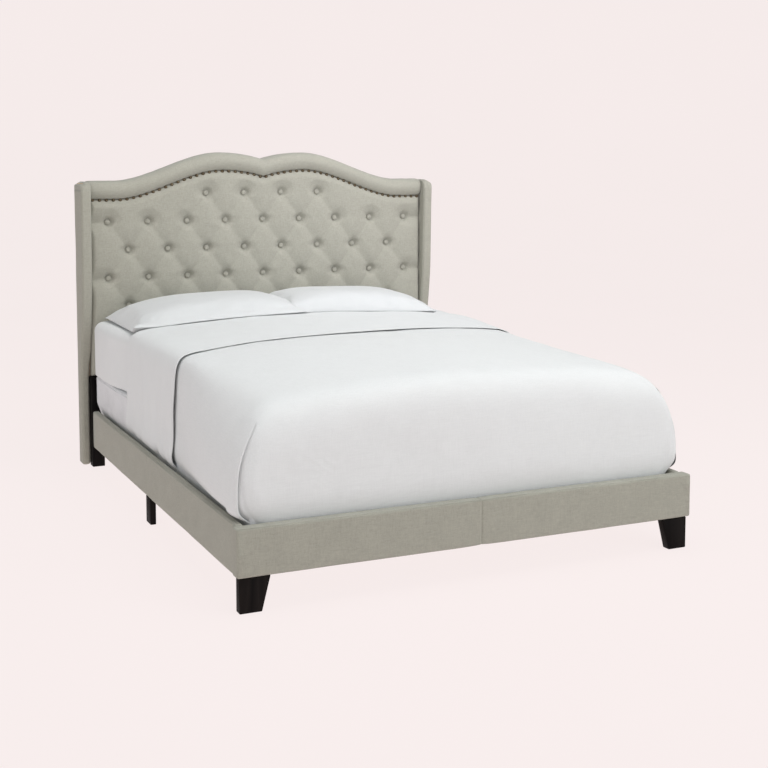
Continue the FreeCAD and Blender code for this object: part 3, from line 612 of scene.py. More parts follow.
def fold_lines(buttons):
    """Folds from each button to its neighbours, and pleats out to the sides."""
    rows = sorted({round(z, 3) for _, z in buttons}, reverse=True)
    row_gap = rows[0] - rows[1]
    pitch = min(abs(a[0] - b[0]) for a in buttons for b in buttons
                if abs(a[1] - b[1]) < 0.01 and a != b)
    lines = []
    for x, z in buttons:
        for other_x, other_z in buttons:
            near = abs(abs(other_x - x) - pitch / 2) < 0.02
            if near and abs(z - other_z - row_gap) < 0.02:
                lines.append(((x, z), (other_x, other_z), DIAGONAL_FOLD))
            if abs(z - other_z) < 0.01 and 0 < other_x - x < pitch * 1.1:
                lines.append(((x, z), (other_x, other_z), LEVEL_FOLD))
        if abs(x) > HALF_BOARD - pitch * 0.75:
            edge = math.copysign(HALF_BOARD + 0.01, x)
            lines.append(((x, z), (edge, z - 0.004), SIDE_PLEAT))
    return lines


def pad_depth(x, z, top, buttons, lines):
    """How far the fabric lies behind the fullest point of the tufts."""
    depth = np.zeros_like(x)
    for a, b, (weight, rise, fade) in lines:
        ax, az = a
        dx, dz = b[0] - ax, b[1] - az
        span = dx * dx + dz * dz
        t = np.clip(((x - ax) * dx + (z - az) * dz) / span, 0, 1)
        away = np.hypot(x - ax - t * dx, z - az - t * dz)
        slack = 1 - rise * np.sin(math.pi * t) - fade * t
        valley = np.clip(1 - away / FOLD_REACH, 0, 1) ** FOLD_SHARPNESS
        depth = np.maximum(depth, FOLD_DEPTH * weight * slack * valley)
    for bx, bz in buttons:
        away = np.hypot(x - bx, (z - bz) * 1.05)
        cone = np.clip(1 - away / CONE_REACH, 0, 1) ** CONE_SHARPNESS
        seat = smoothstep(POCKET_REACH * 1.15, POCKET_REACH * 0.35, away)
        deep = PAD_CROWN + BUTTON_SEAT
        depth = np.maximum(depth, deep * np.maximum(cone * 0.86, seat))
        angle = np.arctan2(z - bz, x - bx)
        gather = np.sin(angle * PUCKERS + bx * 40) * np.exp(-((away - 0.028) / 0.014) ** 2)
        depth = depth + PUCKER_DEPTH * gather
    from_nails = np.abs(z - (top + ROLL_HEIGHT - NAIL_DROP))
    hem = np.clip(1 - from_nails / NAIL_PULL_REACH, 0, 1) ** 1.7
    depth = np.maximum(depth, PAD_CROWN * 1.05 * hem)
    under_roll = NAIL_DROP - 0.002 - (top + ROLL_HEIGHT - z)
    depth = depth + ROLL_GROOVE * smoothstep(-0.004, 0.005, under_roll)
    from_side = HALF_BOARD - np.abs(x)
    side = np.clip(1 - from_side / EDGE_ROUND, 0, 1) ** 2
    return np.maximum(depth, EDGE_DEPTH * side)


def make_pad():
    buttons = button_centres()
    lines = fold_lines(buttons)
    columns = int(round(2 * HALF_BOARD / PAD_STEP)) + 1
    x_line = np.linspace(-HALF_BOARD, HALF_BOARD, columns)
    top_line = crest(x_line) - ROLL_HEIGHT
    rows = PAD_ROWS
    share = np.linspace(0, 1, rows)[:, None]
    base = pad_low.z
    level = SHOULDER_Z - ROLL_HEIGHT - 0.05
    flat = base + (level - base) * np.clip(share / LEVEL_ROWS, 0, 1)
    rise = np.clip((share - LEVEL_ROWS) / (1 - LEVEL_ROWS), 0, 1)
    z = flat + (top_line[None, :] - level) * rise
    x = np.repeat(x_line[None, :], rows, 0)
    depth = pad_depth(x, z, np.repeat(top_line[None, :], rows, 0), buttons, lines)
    coords = np.stack([x, z], 2)
    depth += 0.0008 * ripple(coords, 0.05, 11)
    bottom = np.clip(1 - (z - base) / 0.02, 0, 1) ** 2
    y = PAD_Y - PAD_CROWN + np.maximum(depth, 0.03 * bottom)
    front = np.stack([x, y, z], 2).reshape(-1, 3)
    ring = grid_border(rows, columns)
    back_points = front[ring]
    back_points[:, 1] = PANEL_Y - PANEL_CLEARANCE
    faces = grid_faces(rows, columns)
    start = len(front)
    count = len(ring)
    for i in range(count):
        j = (i + 1) % count
        faces.append([ring[i], start + i, start + j, ring[j]])
    faces.append([start + i for i in range(count)])
    pad = outward(new_piece("headboard_tufted_pad", np.vstack([front, back_points]), faces))
    settle(pad, "frame", "linen", "tufted_pad")
    return buttons


def make_buttons(buttons):
    seat = PAD_Y + BUTTON_SEAT
    places = [(x, seat + 0.001, z) for x, z in buttons]
    profile = [(0.0095, 0.0), (0.0118, 0.0012), (0.0125, 0.0032), (0.0119, 0.0055),
               (0.0100, 0.0078), (0.0070, 0.0093), (0.0035, 0.0100), (0.0008, 0.0102)]
    covered = repeated("headboard_covered_buttons", places, profile, sides=24, gathers=0.012)
    settle(covered, "frame", "linen", "tufting_buttons")


def make_roll():
    """Stuffed roll swept along the crest; the section is (y, drop below the crest)."""
    front = roll_low.y
    back = roll_high.y
    section = [
        (back - 0.001, 0.017), (back - 0.002, 0.007), (back - 0.014, 0.0006),
        (back - 0.04, 0.0), (front + 0.042, 0.0004), (front + 0.020, 0.0065),
        (front + 0.006, 0.020), (front, 0.037), (front + 0.002, 0.053),
        (front + 0.009, 0.067), (front + 0.020, 0.0775), (front + 0.030, 0.079),
        (PANEL_Y - 0.012, 0.076), (PANEL_Y - 0.002, 0.060), (PANEL_Y, 0.030),
        (PANEL_Y + 0.014, 0.0205),
    ]
    ring = closed_path(section, 56)
    stations = spaced(-HALF_BOARD, HALF_BOARD, 0.0075, (-HALF_BOARD, HALF_BOARD), 0.003, 0.01)
    centre = ring.mean(0)
    rings = []
    gather = ripple(np.stack([stations, stations * 0], 1), 0.028, 5)
    slow = ripple(np.stack([stations, stations * 0], 1), 0.22, 6)
    for number, x in enumerate(stations):
        end = smoothstep(0.012, 0.0, HALF_BOARD - abs(x))
        swell = 1 + 0.006 * slow[number] + 0.008 * gather[number] - 0.06 * end
        shape = centre + (ring - centre) * swell
        y = np.clip(shape[:, 0], front - 0.001, back + 0.0005)
        z = crest(x) - shape[:, 1]
        rings.append(np.stack([np.full(len(y), x), y, z], 1))
    roll = loft("headboard_border_roll", rings)
    settle(roll, "frame", "linen", "border_roll")


def make_nails():
    """Domed nail heads with a small rim, seated on the fabric at the roll's lower edge."""
    places = []
    for low, high in clusters("nailheads", (0,), 0.004):
        places.append(((low[0] + high[0]) / 2, PAD_Y + 0.0005, (low[2] + high[2]) / 2))
    profile = [(0.0070, 0.0), (0.0079, 0.0004), (0.0080, 0.0010), (0.0074, 0.0017),
               (0.0064, 0.0031), (0.0048, 0.0043), (0.0028, 0.0051), (0.0009, 0.0054)]
    nails = repeated("headboard_nail_trim", places, profile, sides=18)
    settle(nails, "frame", "antique_bronze", "nailheads")


def make_back():
    """Fabric stretched over the back of the frame, with a turned edge, and over its lower front."""
    low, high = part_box("headboard_back_cover")
    rows, columns = 70, 110
    half = high.x
    x = np.repeat(np.linspace(-half, half, columns)[None, :], rows, 0)
    top = crest(x) - 0.011
    share = np.repeat(np.linspace(0, 1, rows)[:, None], columns, 1)
    z = low.z + (top - low.z) * share
    from_edge = np.minimum.reduce([half - np.abs(x), z - low.z, top - z])
    coords = np.stack([x, z], 2)
    hem = 0.0012 * np.exp(-((from_edge - 0.016) / 0.003) ** 2)
    sag = 0.0012 * ripple(coords, 0.25, 21) * smoothstep(0.0, 0.08, from_edge)
    pull = 0.0006 * np.sin(x * 2 * math.pi / 0.035) * np.exp(-(top - z) / 0.03)
    y_out = high.y + sag - hem + pull
    y_in = np.full_like(y_out, low.y + 0.0002)
    outer = np.stack([x, np.maximum(y_out, y_in + 0.0006), z], 2)
    inner = np.stack([x, y_in, z], 2)
    count = rows * columns
    faces = grid_faces(rows, columns) + grid_faces(rows, columns, count, flip=True)
    border = grid_border(rows, columns)
    for a, b in zip(border, border[1:] + border[:1]):
        faces.append([a, a + count, b + count, b])
    points = np.vstack([outer.reshape(-1, 3), inner.reshape(-1, 3)])
    cover = outward(new_piece("headboard_back_fabric", points, faces))
    settle(cover, "frame", "linen", "headboard_back_cover")
    low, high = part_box("headboard_lower_cover")
    lower = rounded_box("headboard_lower_fabric", low, high, radius=0.0012, swell=0.001)
    settle(lower, "frame", "linen", "headboard_lower_cover")


# ---------------------------------------------------------------- wings

WING_FRONT_LEAN = 0.010
WING_SWEEP_BACK = 0.075
WING_LEG_NOTCH = 0.0095
WING_TOP_FALL = 0.010
WING_SWEEP_TOP = 0.900
WING_SWEEP_BOTTOM = 0.400
WING_CORNER = 0.034
WING_TOE = 0.014
WING_EDGE = 0.011
WING_SEAM = 0.0016


def wing_front(z, low, high):
    """Y of the wing's front edge at each height."""
    middle = low.y + WING_FRONT_LEAN
    foot = low.y + WING_SWEEP_BACK
    sweep = bezier(((WING_SWEEP_BOTTOM, foot), (WING_SWEEP_BOTTOM + 0.120, foot - 0.003),
                    (WING_SWEEP_TOP - 0.200, middle + 0.003), (WING_SWEEP_TOP, middle)), 60)
    heights = np.r_[low.z, sweep[:, 0], high.z]
    fronts = np.r_[foot, sweep[:, 1], low.y]
    y = np.interp(z, heights, fronts)
    corner = arc_drop(z - (high.z - WING_CORNER), WING_CORNER)
    toe = arc_drop(low.z + WING_TOE - z, WING_TOE)
    return y + corner + toe


def rounded_section(width, depth, radius, pinch, per_corner=8, per_side=(10, 6)):
    """Closed rounded rectangle about its centre, pinched a little where its seams are."""
    points = []
    for corner, (sx, sy) in enumerate(((1, -1), (1, 1), (-1, 1), (-1, -1))):
        start = -math.pi / 2 + corner * math.pi / 2
        for i in range(per_corner + 1):
            angle = start + math.pi / 2 * i / per_corner
            seam = pinch * math.exp(-((i - per_corner / 2) / 0.8) ** 2)
            reach = radius - seam
            points.append((sx * (width / 2 - radius) + reach * math.cos(angle),
                           sy * (depth / 2 - radius) + reach * math.sin(angle)))
        ahead = ((1, 1), (-1, 1), (-1, -1), (1, -1))[corner]
        count = per_side[corner % 2]
        a = np.array(points[-1])
        angle = start + math.pi / 2
        b = np.array((ahead[0] * (width / 2 - radius) + radius * math.cos(angle),
                      ahead[1] * (depth / 2 - radius) + radius * math.sin(angle)))
        for i in range(1, count):
            points.append(tuple(a + (b - a) * i / count))
    return np.array(points)


def make_wings():
    for side, sign in (("left", -1), ("right", 1)):
        low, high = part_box("wing_cover_" + side)
        leg_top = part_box("head_leg_" + side)[1].z
        thickness = high.x - low.x
        centre_x = (low.x + high.x) / 2
        ends = [low.z + WING_EDGE * (1 - math.cos(a)) for a in np.linspace(0, math.pi / 2, 9)]
        tops = [high.z - WING_EDGE * (1 - math.cos(a)) for a in np.linspace(math.pi / 2, 0, 12)]
        corner = np.linspace(high.z - WING_CORNER, high.z - WING_EDGE, 10)[:-1]
        middle = spaced(low.z + WING_EDGE, high.z - WING_CORNER, 0.012)
        stations = np.unique(np.r_[ends, middle, corner, tops])
        rings = []
        for z in stations:
            near = min(z - low.z, high.z - z)
            inset = float(arc_drop(WING_EDGE - near, WING_EDGE))
            front = float(wing_front(z, low, high)) + inset * 0.3
            back = high.y - inset * 0.6
            width = thickness - 2 * inset
            radius = min(WING_EDGE, width / 2 - 0.0005)
            ring = rounded_section(width, back - front, radius, WING_SEAM)
            notch = WING_LEG_NOTCH * smoothstep(leg_top + 0.14, leg_top + 0.01, z)
            inner = smoothstep(width / 2, -width / 2, ring[:, 0])
            x = centre_x + sign * (ring[:, 0] + notch * inner)
            y = (front + back) / 2 + ring[:, 1]
            fall = WING_TOP_FALL * smoothstep(high.z - 0.05, high.z, z)
            heights = z - fall * (1 - inner) ** 2
            swell = 0.0012 * ripple(np.stack([x, y, heights], 1), 0.16, 31)
            x = x + sign * np.sign(ring[:, 0]) * np.minimum(swell, 0.0)
            rings.append(np.stack([x, y, heights], 1))
        wing = loft(f"wing_{side}_padded_cover", rings)
        settle(wing, "frame", "linen", "wing_cover_" + side)


# ---------------------------------------------------------------- rails

RAIL_ROUND = 0.008
RAIL_SEAM_DEPTH = 0.0028
RAIL_SEAM_WIDTH = 0.0035


def padded_rail(name, low, high, axis, seams, seam_share=1.0):
    """Upholstered board along X (axis 0) or Y (axis 1), with sewn seams across it."""
    other = 1 - axis
    start, stop = low[axis], high[axis]
    thick = high[other] - low[other]
    tall = high.z - low.z
    centre = ((low[other] + high[other]) / 2, (low.z + high.z) / 2)
    rounding = [RAIL_ROUND * (1 - math.cos(a)) for a in np.linspace(0, math.pi / 2, 8)]
    body = spaced(start + RAIL_ROUND, stop - RAIL_ROUND, 0.02, seams, 0.0012, 0.012)
    stations = np.unique(np.r_[[start + r for r in rounding], body,
                               [stop - r for r in rounding]])
    rings = []
    for s in stations:
        near = min(s - start, stop - s)
        inset = float(arc_drop(RAIL_ROUND - near, RAIL_ROUND))
        radius = min(RAIL_ROUND, (thick - 2 * inset) / 2 - 0.0005)
        ring = rounded_section(thick - 2 * inset, tall - 2 * inset, radius, 0.0,
                               per_side=(14, 6))
        length = np.hypot(ring[:, 0], ring[:, 1])
        direction = np.stack([np.sign(ring[:, 0]) * (np.abs(ring[:, 0]) > thick / 2 - 0.004),
                              np.sign(ring[:, 1]) * (np.abs(ring[:, 1]) > tall / 2 - 0.004)], 1)
        pull = np.zeros(len(ring))
        for seam in seams:
            away = abs(s - seam)
            groove = RAIL_SEAM_DEPTH * math.exp(-(away / RAIL_SEAM_WIDTH) ** 2)
            pucker = 0.0007 * math.exp(-away / 0.02) * np.sin(length * 2 * math.pi / 0.013)
            dip = 0.0012 * math.exp(-(away / 0.03) ** 2)
            pull = pull + seam_share * (groove + pucker + dip)
        coords = np.stack([np.full(len(ring), s), ring[:, 0], ring[:, 1]], 1)
        pull = pull + 0.0006 + 0.0006 * ripple(coords, 0.12, 41)
        pull = pull + 0.0012 * np.abs(ring[:, 1] / (tall / 2)) ** 4
        ring = ring - direction * np.maximum(pull, 0)[:, None]
        points = np.zeros((len(ring), 3))
        points[:, axis] = s
        points[:, other] = centre[0] + ring[:, 0]
        points[:, 2] = centre[1] + ring[:, 1]
        rings.append(points)
    return loft(name, rings)


def make_rails():
    low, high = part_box("foot_rail_cover")
    rail = padded_rail("foot_rail_padded_cover", low, high, axis=0, seams=[0.0])
    settle(rail, "frame", "linen", "foot_rail_cover")
    leg_low, leg_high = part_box("mid_leg_left")
    joint = (leg_low.y + leg_high.y) / 2
    for side in ("left", "right"):
        low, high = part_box("side_rail_cover_" + side)
        rail = padded_rail(f"side_rail_{side}_padded_cover", low, high, axis=1,
                           seams=[joint], seam_share=0.4)
        settle(rail, "frame", "linen", "side_rail_cover_" + side)


# ---------------------------------------------------------------- wood and hardware

def softened(name, node, width, slot_name):
    """The CAD node's own shape with its sharp arrises eased."""
    mesh = frame["nodes"][node].data.copy()
    mesh.name = name
    mesh.materials.clear()
    piece = bpy.data.objects.new(name, mesh)
    bpy.context.scene.collection.objects.link(piece)
    weld = piece.modifiers.new("weld", "WELD")
    weld.merge_threshold = 0.00005
    flat = piece.modifiers.new("flat", "DECIMATE")
    flat.decimate_type = "DISSOLVE"
    flat.angle_limit = math.radians(1)
    bevel = piece.modifiers.new("bevel", "BEVEL")
    bevel.width = width
    bevel.segments = 3
    bevel.limit_method = "ANGLE"
    bevel.angle_limit = math.radians(40)
    bevel.harden_normals = True
    bpy.context.view_layer.update()
    depsgraph = bpy.context.evaluated_depsgraph_get()
    final = bpy.data.meshes.new_from_object(piece.evaluated_get(depsgraph))
    piece.modifiers.clear()
    piece.data = final
    final.shade_smooth()
    settle(piece, "frame", slot_name, node)


def make_legs():
    for side in ("left", "right"):
        softened(f"foot_leg_{side}_block", f"foot_leg_{side}", 0.0035, "espresso_wood")
        softened(f"mid_leg_{side}_block", f"mid_leg_{side}", 0.003, "espresso_wood")
        softened(f"head_leg_{side}_post", f"head_leg_{side}", 0.003, "espresso_wood")
    softened("centre_leg_posts", "centre_legs", 0.002, "espresso_wood")
    softened("bed_slats", "slats", 0.003, "softwood")


def finish_cad_nodes():
    """Hardware and boards keep their CAD shape and get their finish."""
    slots = {part["node"]: part["material_slot"] for part in frame["record"]["subparts"]}
    for name, node in frame["nodes"].items():
        node.data.materials.clear()
        node.data.materials.append(materials[slots[name]])


# ---------------------------------------------------------------- the made bed

TOP_HALF = 0.650
FRONT_START = 0.145
SKIRT_Z = 0.250
LEFT_DRAWN_IN = 0.012
COVERLET_HEAD = 1.42
SHEET_HEAD = 1.535
SHEET_RISE = 0.008
CLOTH_STEP = 0.014
SIDE_SOFT = ((0.0, 0.0), (0.046, 0.013), (0.100, 0.053), (0.138, 0.122), (0.162, 0.205),
             (0.175, 0.285), (0.178, 0.322), (0.175, 0.342), (0.164, 0.3535), (0.148, 0.358),
             (0.134, 0.363), (0.126, 0.375))
SIDE_FIRM = ((0.0, 0.0), (0.050, 0.004), (0.088, 0.014), (0.108, 0.036), (0.117, 0.075),
             (0.122, 0.150), (0.129, 0.250), (0.137, 0.325), (0.142, 0.358), (0.141, 0.376),
             (0.134, 0.390), (0.125, 0.398), (0.121, 0.412))
FRONT_DROP = ((0.0, 0.0), (0.045, 0.006), (0.080, 0.018), (0.108, 0.038), (0.128, 0.078),
              (0.1365, 0.140), (0.1395, 0.230), (0.1425, 0.320), (0.1425, 0.345),
              (0.1385, 0.362), (0.137, 0.400))
PROFILE_POINTS = 90

side_soft, side_soft_length = smooth_path(SIDE_SOFT, PROFILE_POINTS)
side_firm, side_firm_length = smooth_path(SIDE_FIRM, PROFILE_POINTS)
front_drop, FRONT_LENGTH = smooth_path(FRONT_DROP, PROFILE_POINTS)
SIDE_LENGTH = (side_soft_length + side_firm_length) / 2
rail_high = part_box("foot_rail_cover")[1]
FRONT_Y = rail_high.y + FRONT_START


def top_height(x, y):
    """Height of the made bed's top: crowned across, lower at the foot and on the right."""
    back = y - FOOT_Y
    middle = np.interp(back, [0.0, 0.2, 0.4, 0.7, 1.5, 2.2],
                       [0.655, 0.664, 0.678, 0.689, 0.694, 0.694])
    left = np.interp(back, [0.0, 0.2, 0.45, 0.8, 1.5, 2.2],
                     [0.622, 0.628, 0.646, 0.667, 0.666, 0.664])
    right = np.interp(back, [0.0, 0.2, 0.6, 1.1, 1.5, 2.2],
                      [0.622, 0.626, 0.636, 0.650, 0.662, 0.664])
    edge = np.where(x < 0, left, right)
    return mix(middle, edge, (np.abs(x) / TOP_HALF) ** 2.2)


def wall_point(distance, angle, sign, y):
    """Point on the hanging side, corner or front: distance from 0 at the top to 1 below.

    angle is 0 on the long side and 1 on the front."""
    at = np.clip(distance, 0, 1) * (PROFILE_POINTS - 1)
    whole = np.arange(PROFILE_POINTS)
    back = y - FOOT_Y
    firm = np.where(sign < 0, smoothstep(0.25, 0.9, back), smoothstep(0.75, 1.5, back))
    side_reach = mix(np.interp(at, whole, side_soft[:, 0]),
                     np.interp(at, whole, side_firm[:, 0]), firm)
    side_fall = mix(np.interp(at, whole, side_soft[:, 1] / side_soft[-1, 1]),
                    np.interp(at, whole, side_firm[:, 1] / side_firm[-1, 1]), firm)
    front_reach = np.interp(at, whole, front_drop[:, 0])
    front_fall = np.interp(at, whole, front_drop[:, 1] / front_drop[-1, 1])
    turn = angle * math.pi / 2
    blend = angle * angle * (3 - 2 * angle)
    fall = mix(side_fall, front_fall, blend)
    square_left = mix(0.9, 0.36, smoothstep(0.1, 0.8, distance))
    square_right = mix(0.72, 0.28, smoothstep(0.05, 0.6, distance))
    square = np.where(sign < 0, square_left, square_right)
    side_reach = side_reach - LEFT_DRAWN_IN * smoothstep(0.5, 0.85, distance) * (sign < 0)
    cosine = np.maximum(np.cos(turn), 1e-6)
    sine = np.maximum(np.sin(turn), 1e-6)
    x = sign * (TOP_HALF + side_reach * cosine ** square)
    y = np.where(angle > 0, FRONT_Y - front_reach * sine ** square, y)
    start = top_height(sign * TOP_HALF + 0 * x, np.maximum(y, FRONT_Y))
    return np.stack([x, y, start - (start - SKIRT_Z) * fall], -1)


def bed_surface(across, along):
    """Cloth coordinates to the made bed's surface: across from the middle, along from the foot.

    Beyond TOP_HALF the cloth hangs down a side, and before FRONT_Y it hangs at the foot."""
    sign = np.sign(across)
    over_side = np.clip((np.abs(across) - TOP_HALF) / SIDE_LENGTH, 0, 1)
    over_front = np.clip((FRONT_Y - along) / FRONT_LENGTH, 0, 1)
    distance = np.maximum(over_side, over_front)
    ratio = np.minimum(over_side, over_front) / np.maximum(distance, 1e-9)
    angle = np.where(over_front > over_side, 1 - ratio / 2, ratio / 2)
    on_front = (over_front > 0) & (over_side <= 0)
    on_top = distance <= 0
    wall = wall_point(distance, angle, sign, np.maximum(along, FRONT_Y))
    front = wall_point(distance, np.ones_like(angle), sign, np.full_like(along, FRONT_Y))
    start = top_height(across, np.full_like(along, FRONT_Y))
    edge = top_height(sign * TOP_HALF, np.full_like(along, FRONT_Y))
    lift = (start - edge) * (front[..., 2] - SKIRT_Z) / (edge - SKIRT_Z)
    front = np.stack([across, front[..., 1], front[..., 2] + lift], -1)
    top = np.stack([across, along, top_height(across, along)], -1)
    result = np.where(on_front[..., None], front, wall)
    return np.where(on_top[..., None], top, result)


def cloth_stations(start, stop, *edges):
    """Places of a cloth's grid lines, twice as close where it turns over an edge."""
    return spaced(start, stop, CLOTH_STEP, edges, CLOTH_STEP / 2, 0.1)


def make_coverlet():
    reach = TOP_HALF + SIDE_LENGTH
    head = FOOT_Y + COVERLET_HEAD
    across = cloth_stations(-reach, reach, -TOP_HALF, TOP_HALF)
    along = cloth_stations(FRONT_Y - FRONT_LENGTH, head, FRONT_Y)
    u, v = np.meshgrid(across, along)
    surface = relaxed(bed_surface(u, v), 14)
    soft_corner = np.exp(-((np.abs(u) - TOP_HALF) / 0.12) ** 2 - ((v - FRONT_Y) / 0.20) ** 2)
    surface = mix(surface, relaxed(surface, 90), soft_corner[..., None])
    coords = np.stack([u, v], 2)
    hang = smoothstep(TOP_HALF, reach, np.abs(u))
    soft = 0.0022 * ripple(coords, 0.30, 51) + 0.0009 * ripple(coords, 0.09, 52)
    vertical = 0.0045 * hang * ripple(np.stack([u * 0.15, v], 2), 0.085, 53)
    front = smoothstep(FRONT_Y, FRONT_Y - FRONT_LENGTH, v)
    upright = 0.0025 * front * ripple(np.stack([u, v * 0.15], 2), 0.10, 54)
    tucked = smoothstep(1.0, 0.8, np.abs(u) / reach) * smoothstep(0, 0.12, v - along[0])
    surface = surface + normals_of(surface) * ((soft + vertical + upright) * tucked)[..., None]
    cover = new_piece("coverlet_slub_cotton", surface, grid_faces(len(along), len(across)))
    settle(cover, "mattress", "white_slub_cotton", "coverlet")
    pleats = [make_pleat(side, sign) for side, sign in (("left", -1), ("right", 1))]


def make_pleat(side, sign):
    """The fold of spare cloth at a foot corner: it lies over the front and its edge is free."""
    down = np.linspace(0.30, 0.995, 60)
    section = [(0.35, 0.0004), (0.45, 0.0010), (0.55, 0.0026), (0.64, 0.0052), (0.71, 0.0080),
               (0.765, 0.0098), (0.795, 0.0098), (0.81, 0.0082), (0.806, 0.0062),
               (0.78, 0.0048), (0.72, 0.0030), (0.66, 0.0012)]
    path, _ = smooth_path(section, 44)
    angle = np.repeat(path[None, :, 0], len(down), 0)
    distance = np.repeat(down[:, None], len(path), 1)
    angle = angle - 0.33 + 0.08 * (1 - smoothstep(0.3, 0.75, distance))
    angle = angle + 0.015 * np.sin(distance * 9.0)
    if sign > 0:
        angle = 0.44 - angle
    base = wall_point(distance, np.clip(angle, 0, 1), sign, np.full_like(angle, FRONT_Y))
    smooth = np.linspace(0.05, 0.50, len(path))
    even = wall_point(distance, np.repeat(smooth[None, :], len(down), 0), sign,
                      np.full_like(angle, FRONT_Y))
    normal = normals_of(even)
    middle = normal[len(down) // 2, len(path) // 2]
    outward_sign = np.sign(middle @ np.array([sign, -1.0, 0.2]))
    open_up = smoothstep(0.28, 0.50, distance)
    lift = np.repeat(path[None, :, 1], len(down), 0) * open_up + 0.0003
    surface = base + normal * outward_sign * lift[..., None]
    pleat = new_piece(f"coverlet_corner_pleat_{side}", surface, grid_faces(len(down), len(path)))
    return settle(pleat, "mattress", "white_slub_cotton")


def cuff_edge(across):
    """Where the turned-down edge of the flat sheet lies, measured from the foot."""
    places = [-1.10, -0.95, -0.85, -0.76, -0.66, -0.45, -0.20, 0.10, 0.40, 0.62, 0.76, 1.10]
    edges = [0.850, 0.845, 0.835, 0.840, 0.875, 0.930, 0.940, 0.955, 1.010, 1.080, 1.11, 1.12]
    smooth = [np.interp(across + shift, places, edges) for shift in (-0.06, -0.03, 0, 0.03, 0.06)]
    return FOOT_Y + sum(smooth) / len(smooth)


def make_cuff():
    """Flat sheet folded over the coverlet: its foot edge is a soft fold that stands clear."""
    reach = TOP_HALF + SIDE_LENGTH * 0.985
    across = cloth_stations(-reach, reach, -TOP_HALF, TOP_HALF)
    head = FOOT_Y + SHEET_HEAD
    hem = [(0.070, 0.0012), (0.045, 0.0015), (0.022, 0.0024), (0.010, 0.0040), (0.003, 0.0062),
           (0.0002, 0.0090), (0.003, 0.0118), (0.010, 0.0136), (0.022, 0.0140)]
    curl, _ = smooth_path(hem, 30)
    run = np.linspace(0.034, 0.99, 44)
    rows = len(curl) + len(run)
    u = np.repeat(across[None, :], rows, 0)
    edge = cuff_edge(across)
    along = np.zeros_like(u)
    lift = np.zeros_like(u)
    hang = smoothstep(TOP_HALF - 0.02, TOP_HALF + 0.16, np.abs(across))
    left = hang * (across < 0)
    stand = 0.16 + 0.30 * hang + 0.20 * left
    for r in range(len(curl)):
        along[r] = edge + curl[r, 0]
        lift[r] = curl[r, 1] * stand + 0.003
    length = head - edge
    for i, share in enumerate(run):
        r = len(curl) + i
        along[r] = edge + np.maximum(share * length, 0.022 + 0.001 * (i + 1))
        settle_down = smoothstep(0.03, 0.55, share)
        lift[r] = mix(0.0140 * stand, 0.0060, settle_down) + 0.003
    surface = bed_surface(u, along)
    coords = np.stack([u, along], 2)
    wrinkle = 0.0016 * ripple(coords, 0.16, 61) + 0.0007 * ripple(coords, 0.05, 62)
    folds = 0.0035 * smoothstep(TOP_HALF + 0.02, reach, np.abs(u)) * ripple(
        np.stack([u * 0.12, along], 2), 0.07, 63)
    away = np.clip((along - edge[None, :]) / 0.05, 0, 1)
    total = lift + np.maximum((wrinkle + folds) * away, 0.0035 - lift)
    even = FOOT_Y + np.repeat(np.linspace(0.8, 1.5, rows)[:, None], len(across), 1)
    surface = surface + normals_of(bed_surface(u, even)) * total[..., None]
    sheet = new_piece("flat_sheet_cuff", surface, grid_faces(rows, len(across)))
    settle(sheet, "mattress", "white_percale", "flat_sheet")


# the bedding fills out between the wings, and stops short of the pad
HEAD_FULLNESS = 0.032
BOX_FULLNESS = 0.026
HEAD_GAP = 0.004
TURN_UNDER = 0.10
SHEET_TOP = 0.650
COVERED = 1.51
MATTRESS_BODY_TOP = 0.60
MATTRESS_SPRING_TOP = 0.57


def head_gap(y, head):
    """How far the bedding's head end is drawn in."""
    return HEAD_GAP * smoothstep(head - 0.10, head, y)


def box_fullness(y):
    return 1 + BOX_FULLNESS * smoothstep(0.2, 0.6, y)


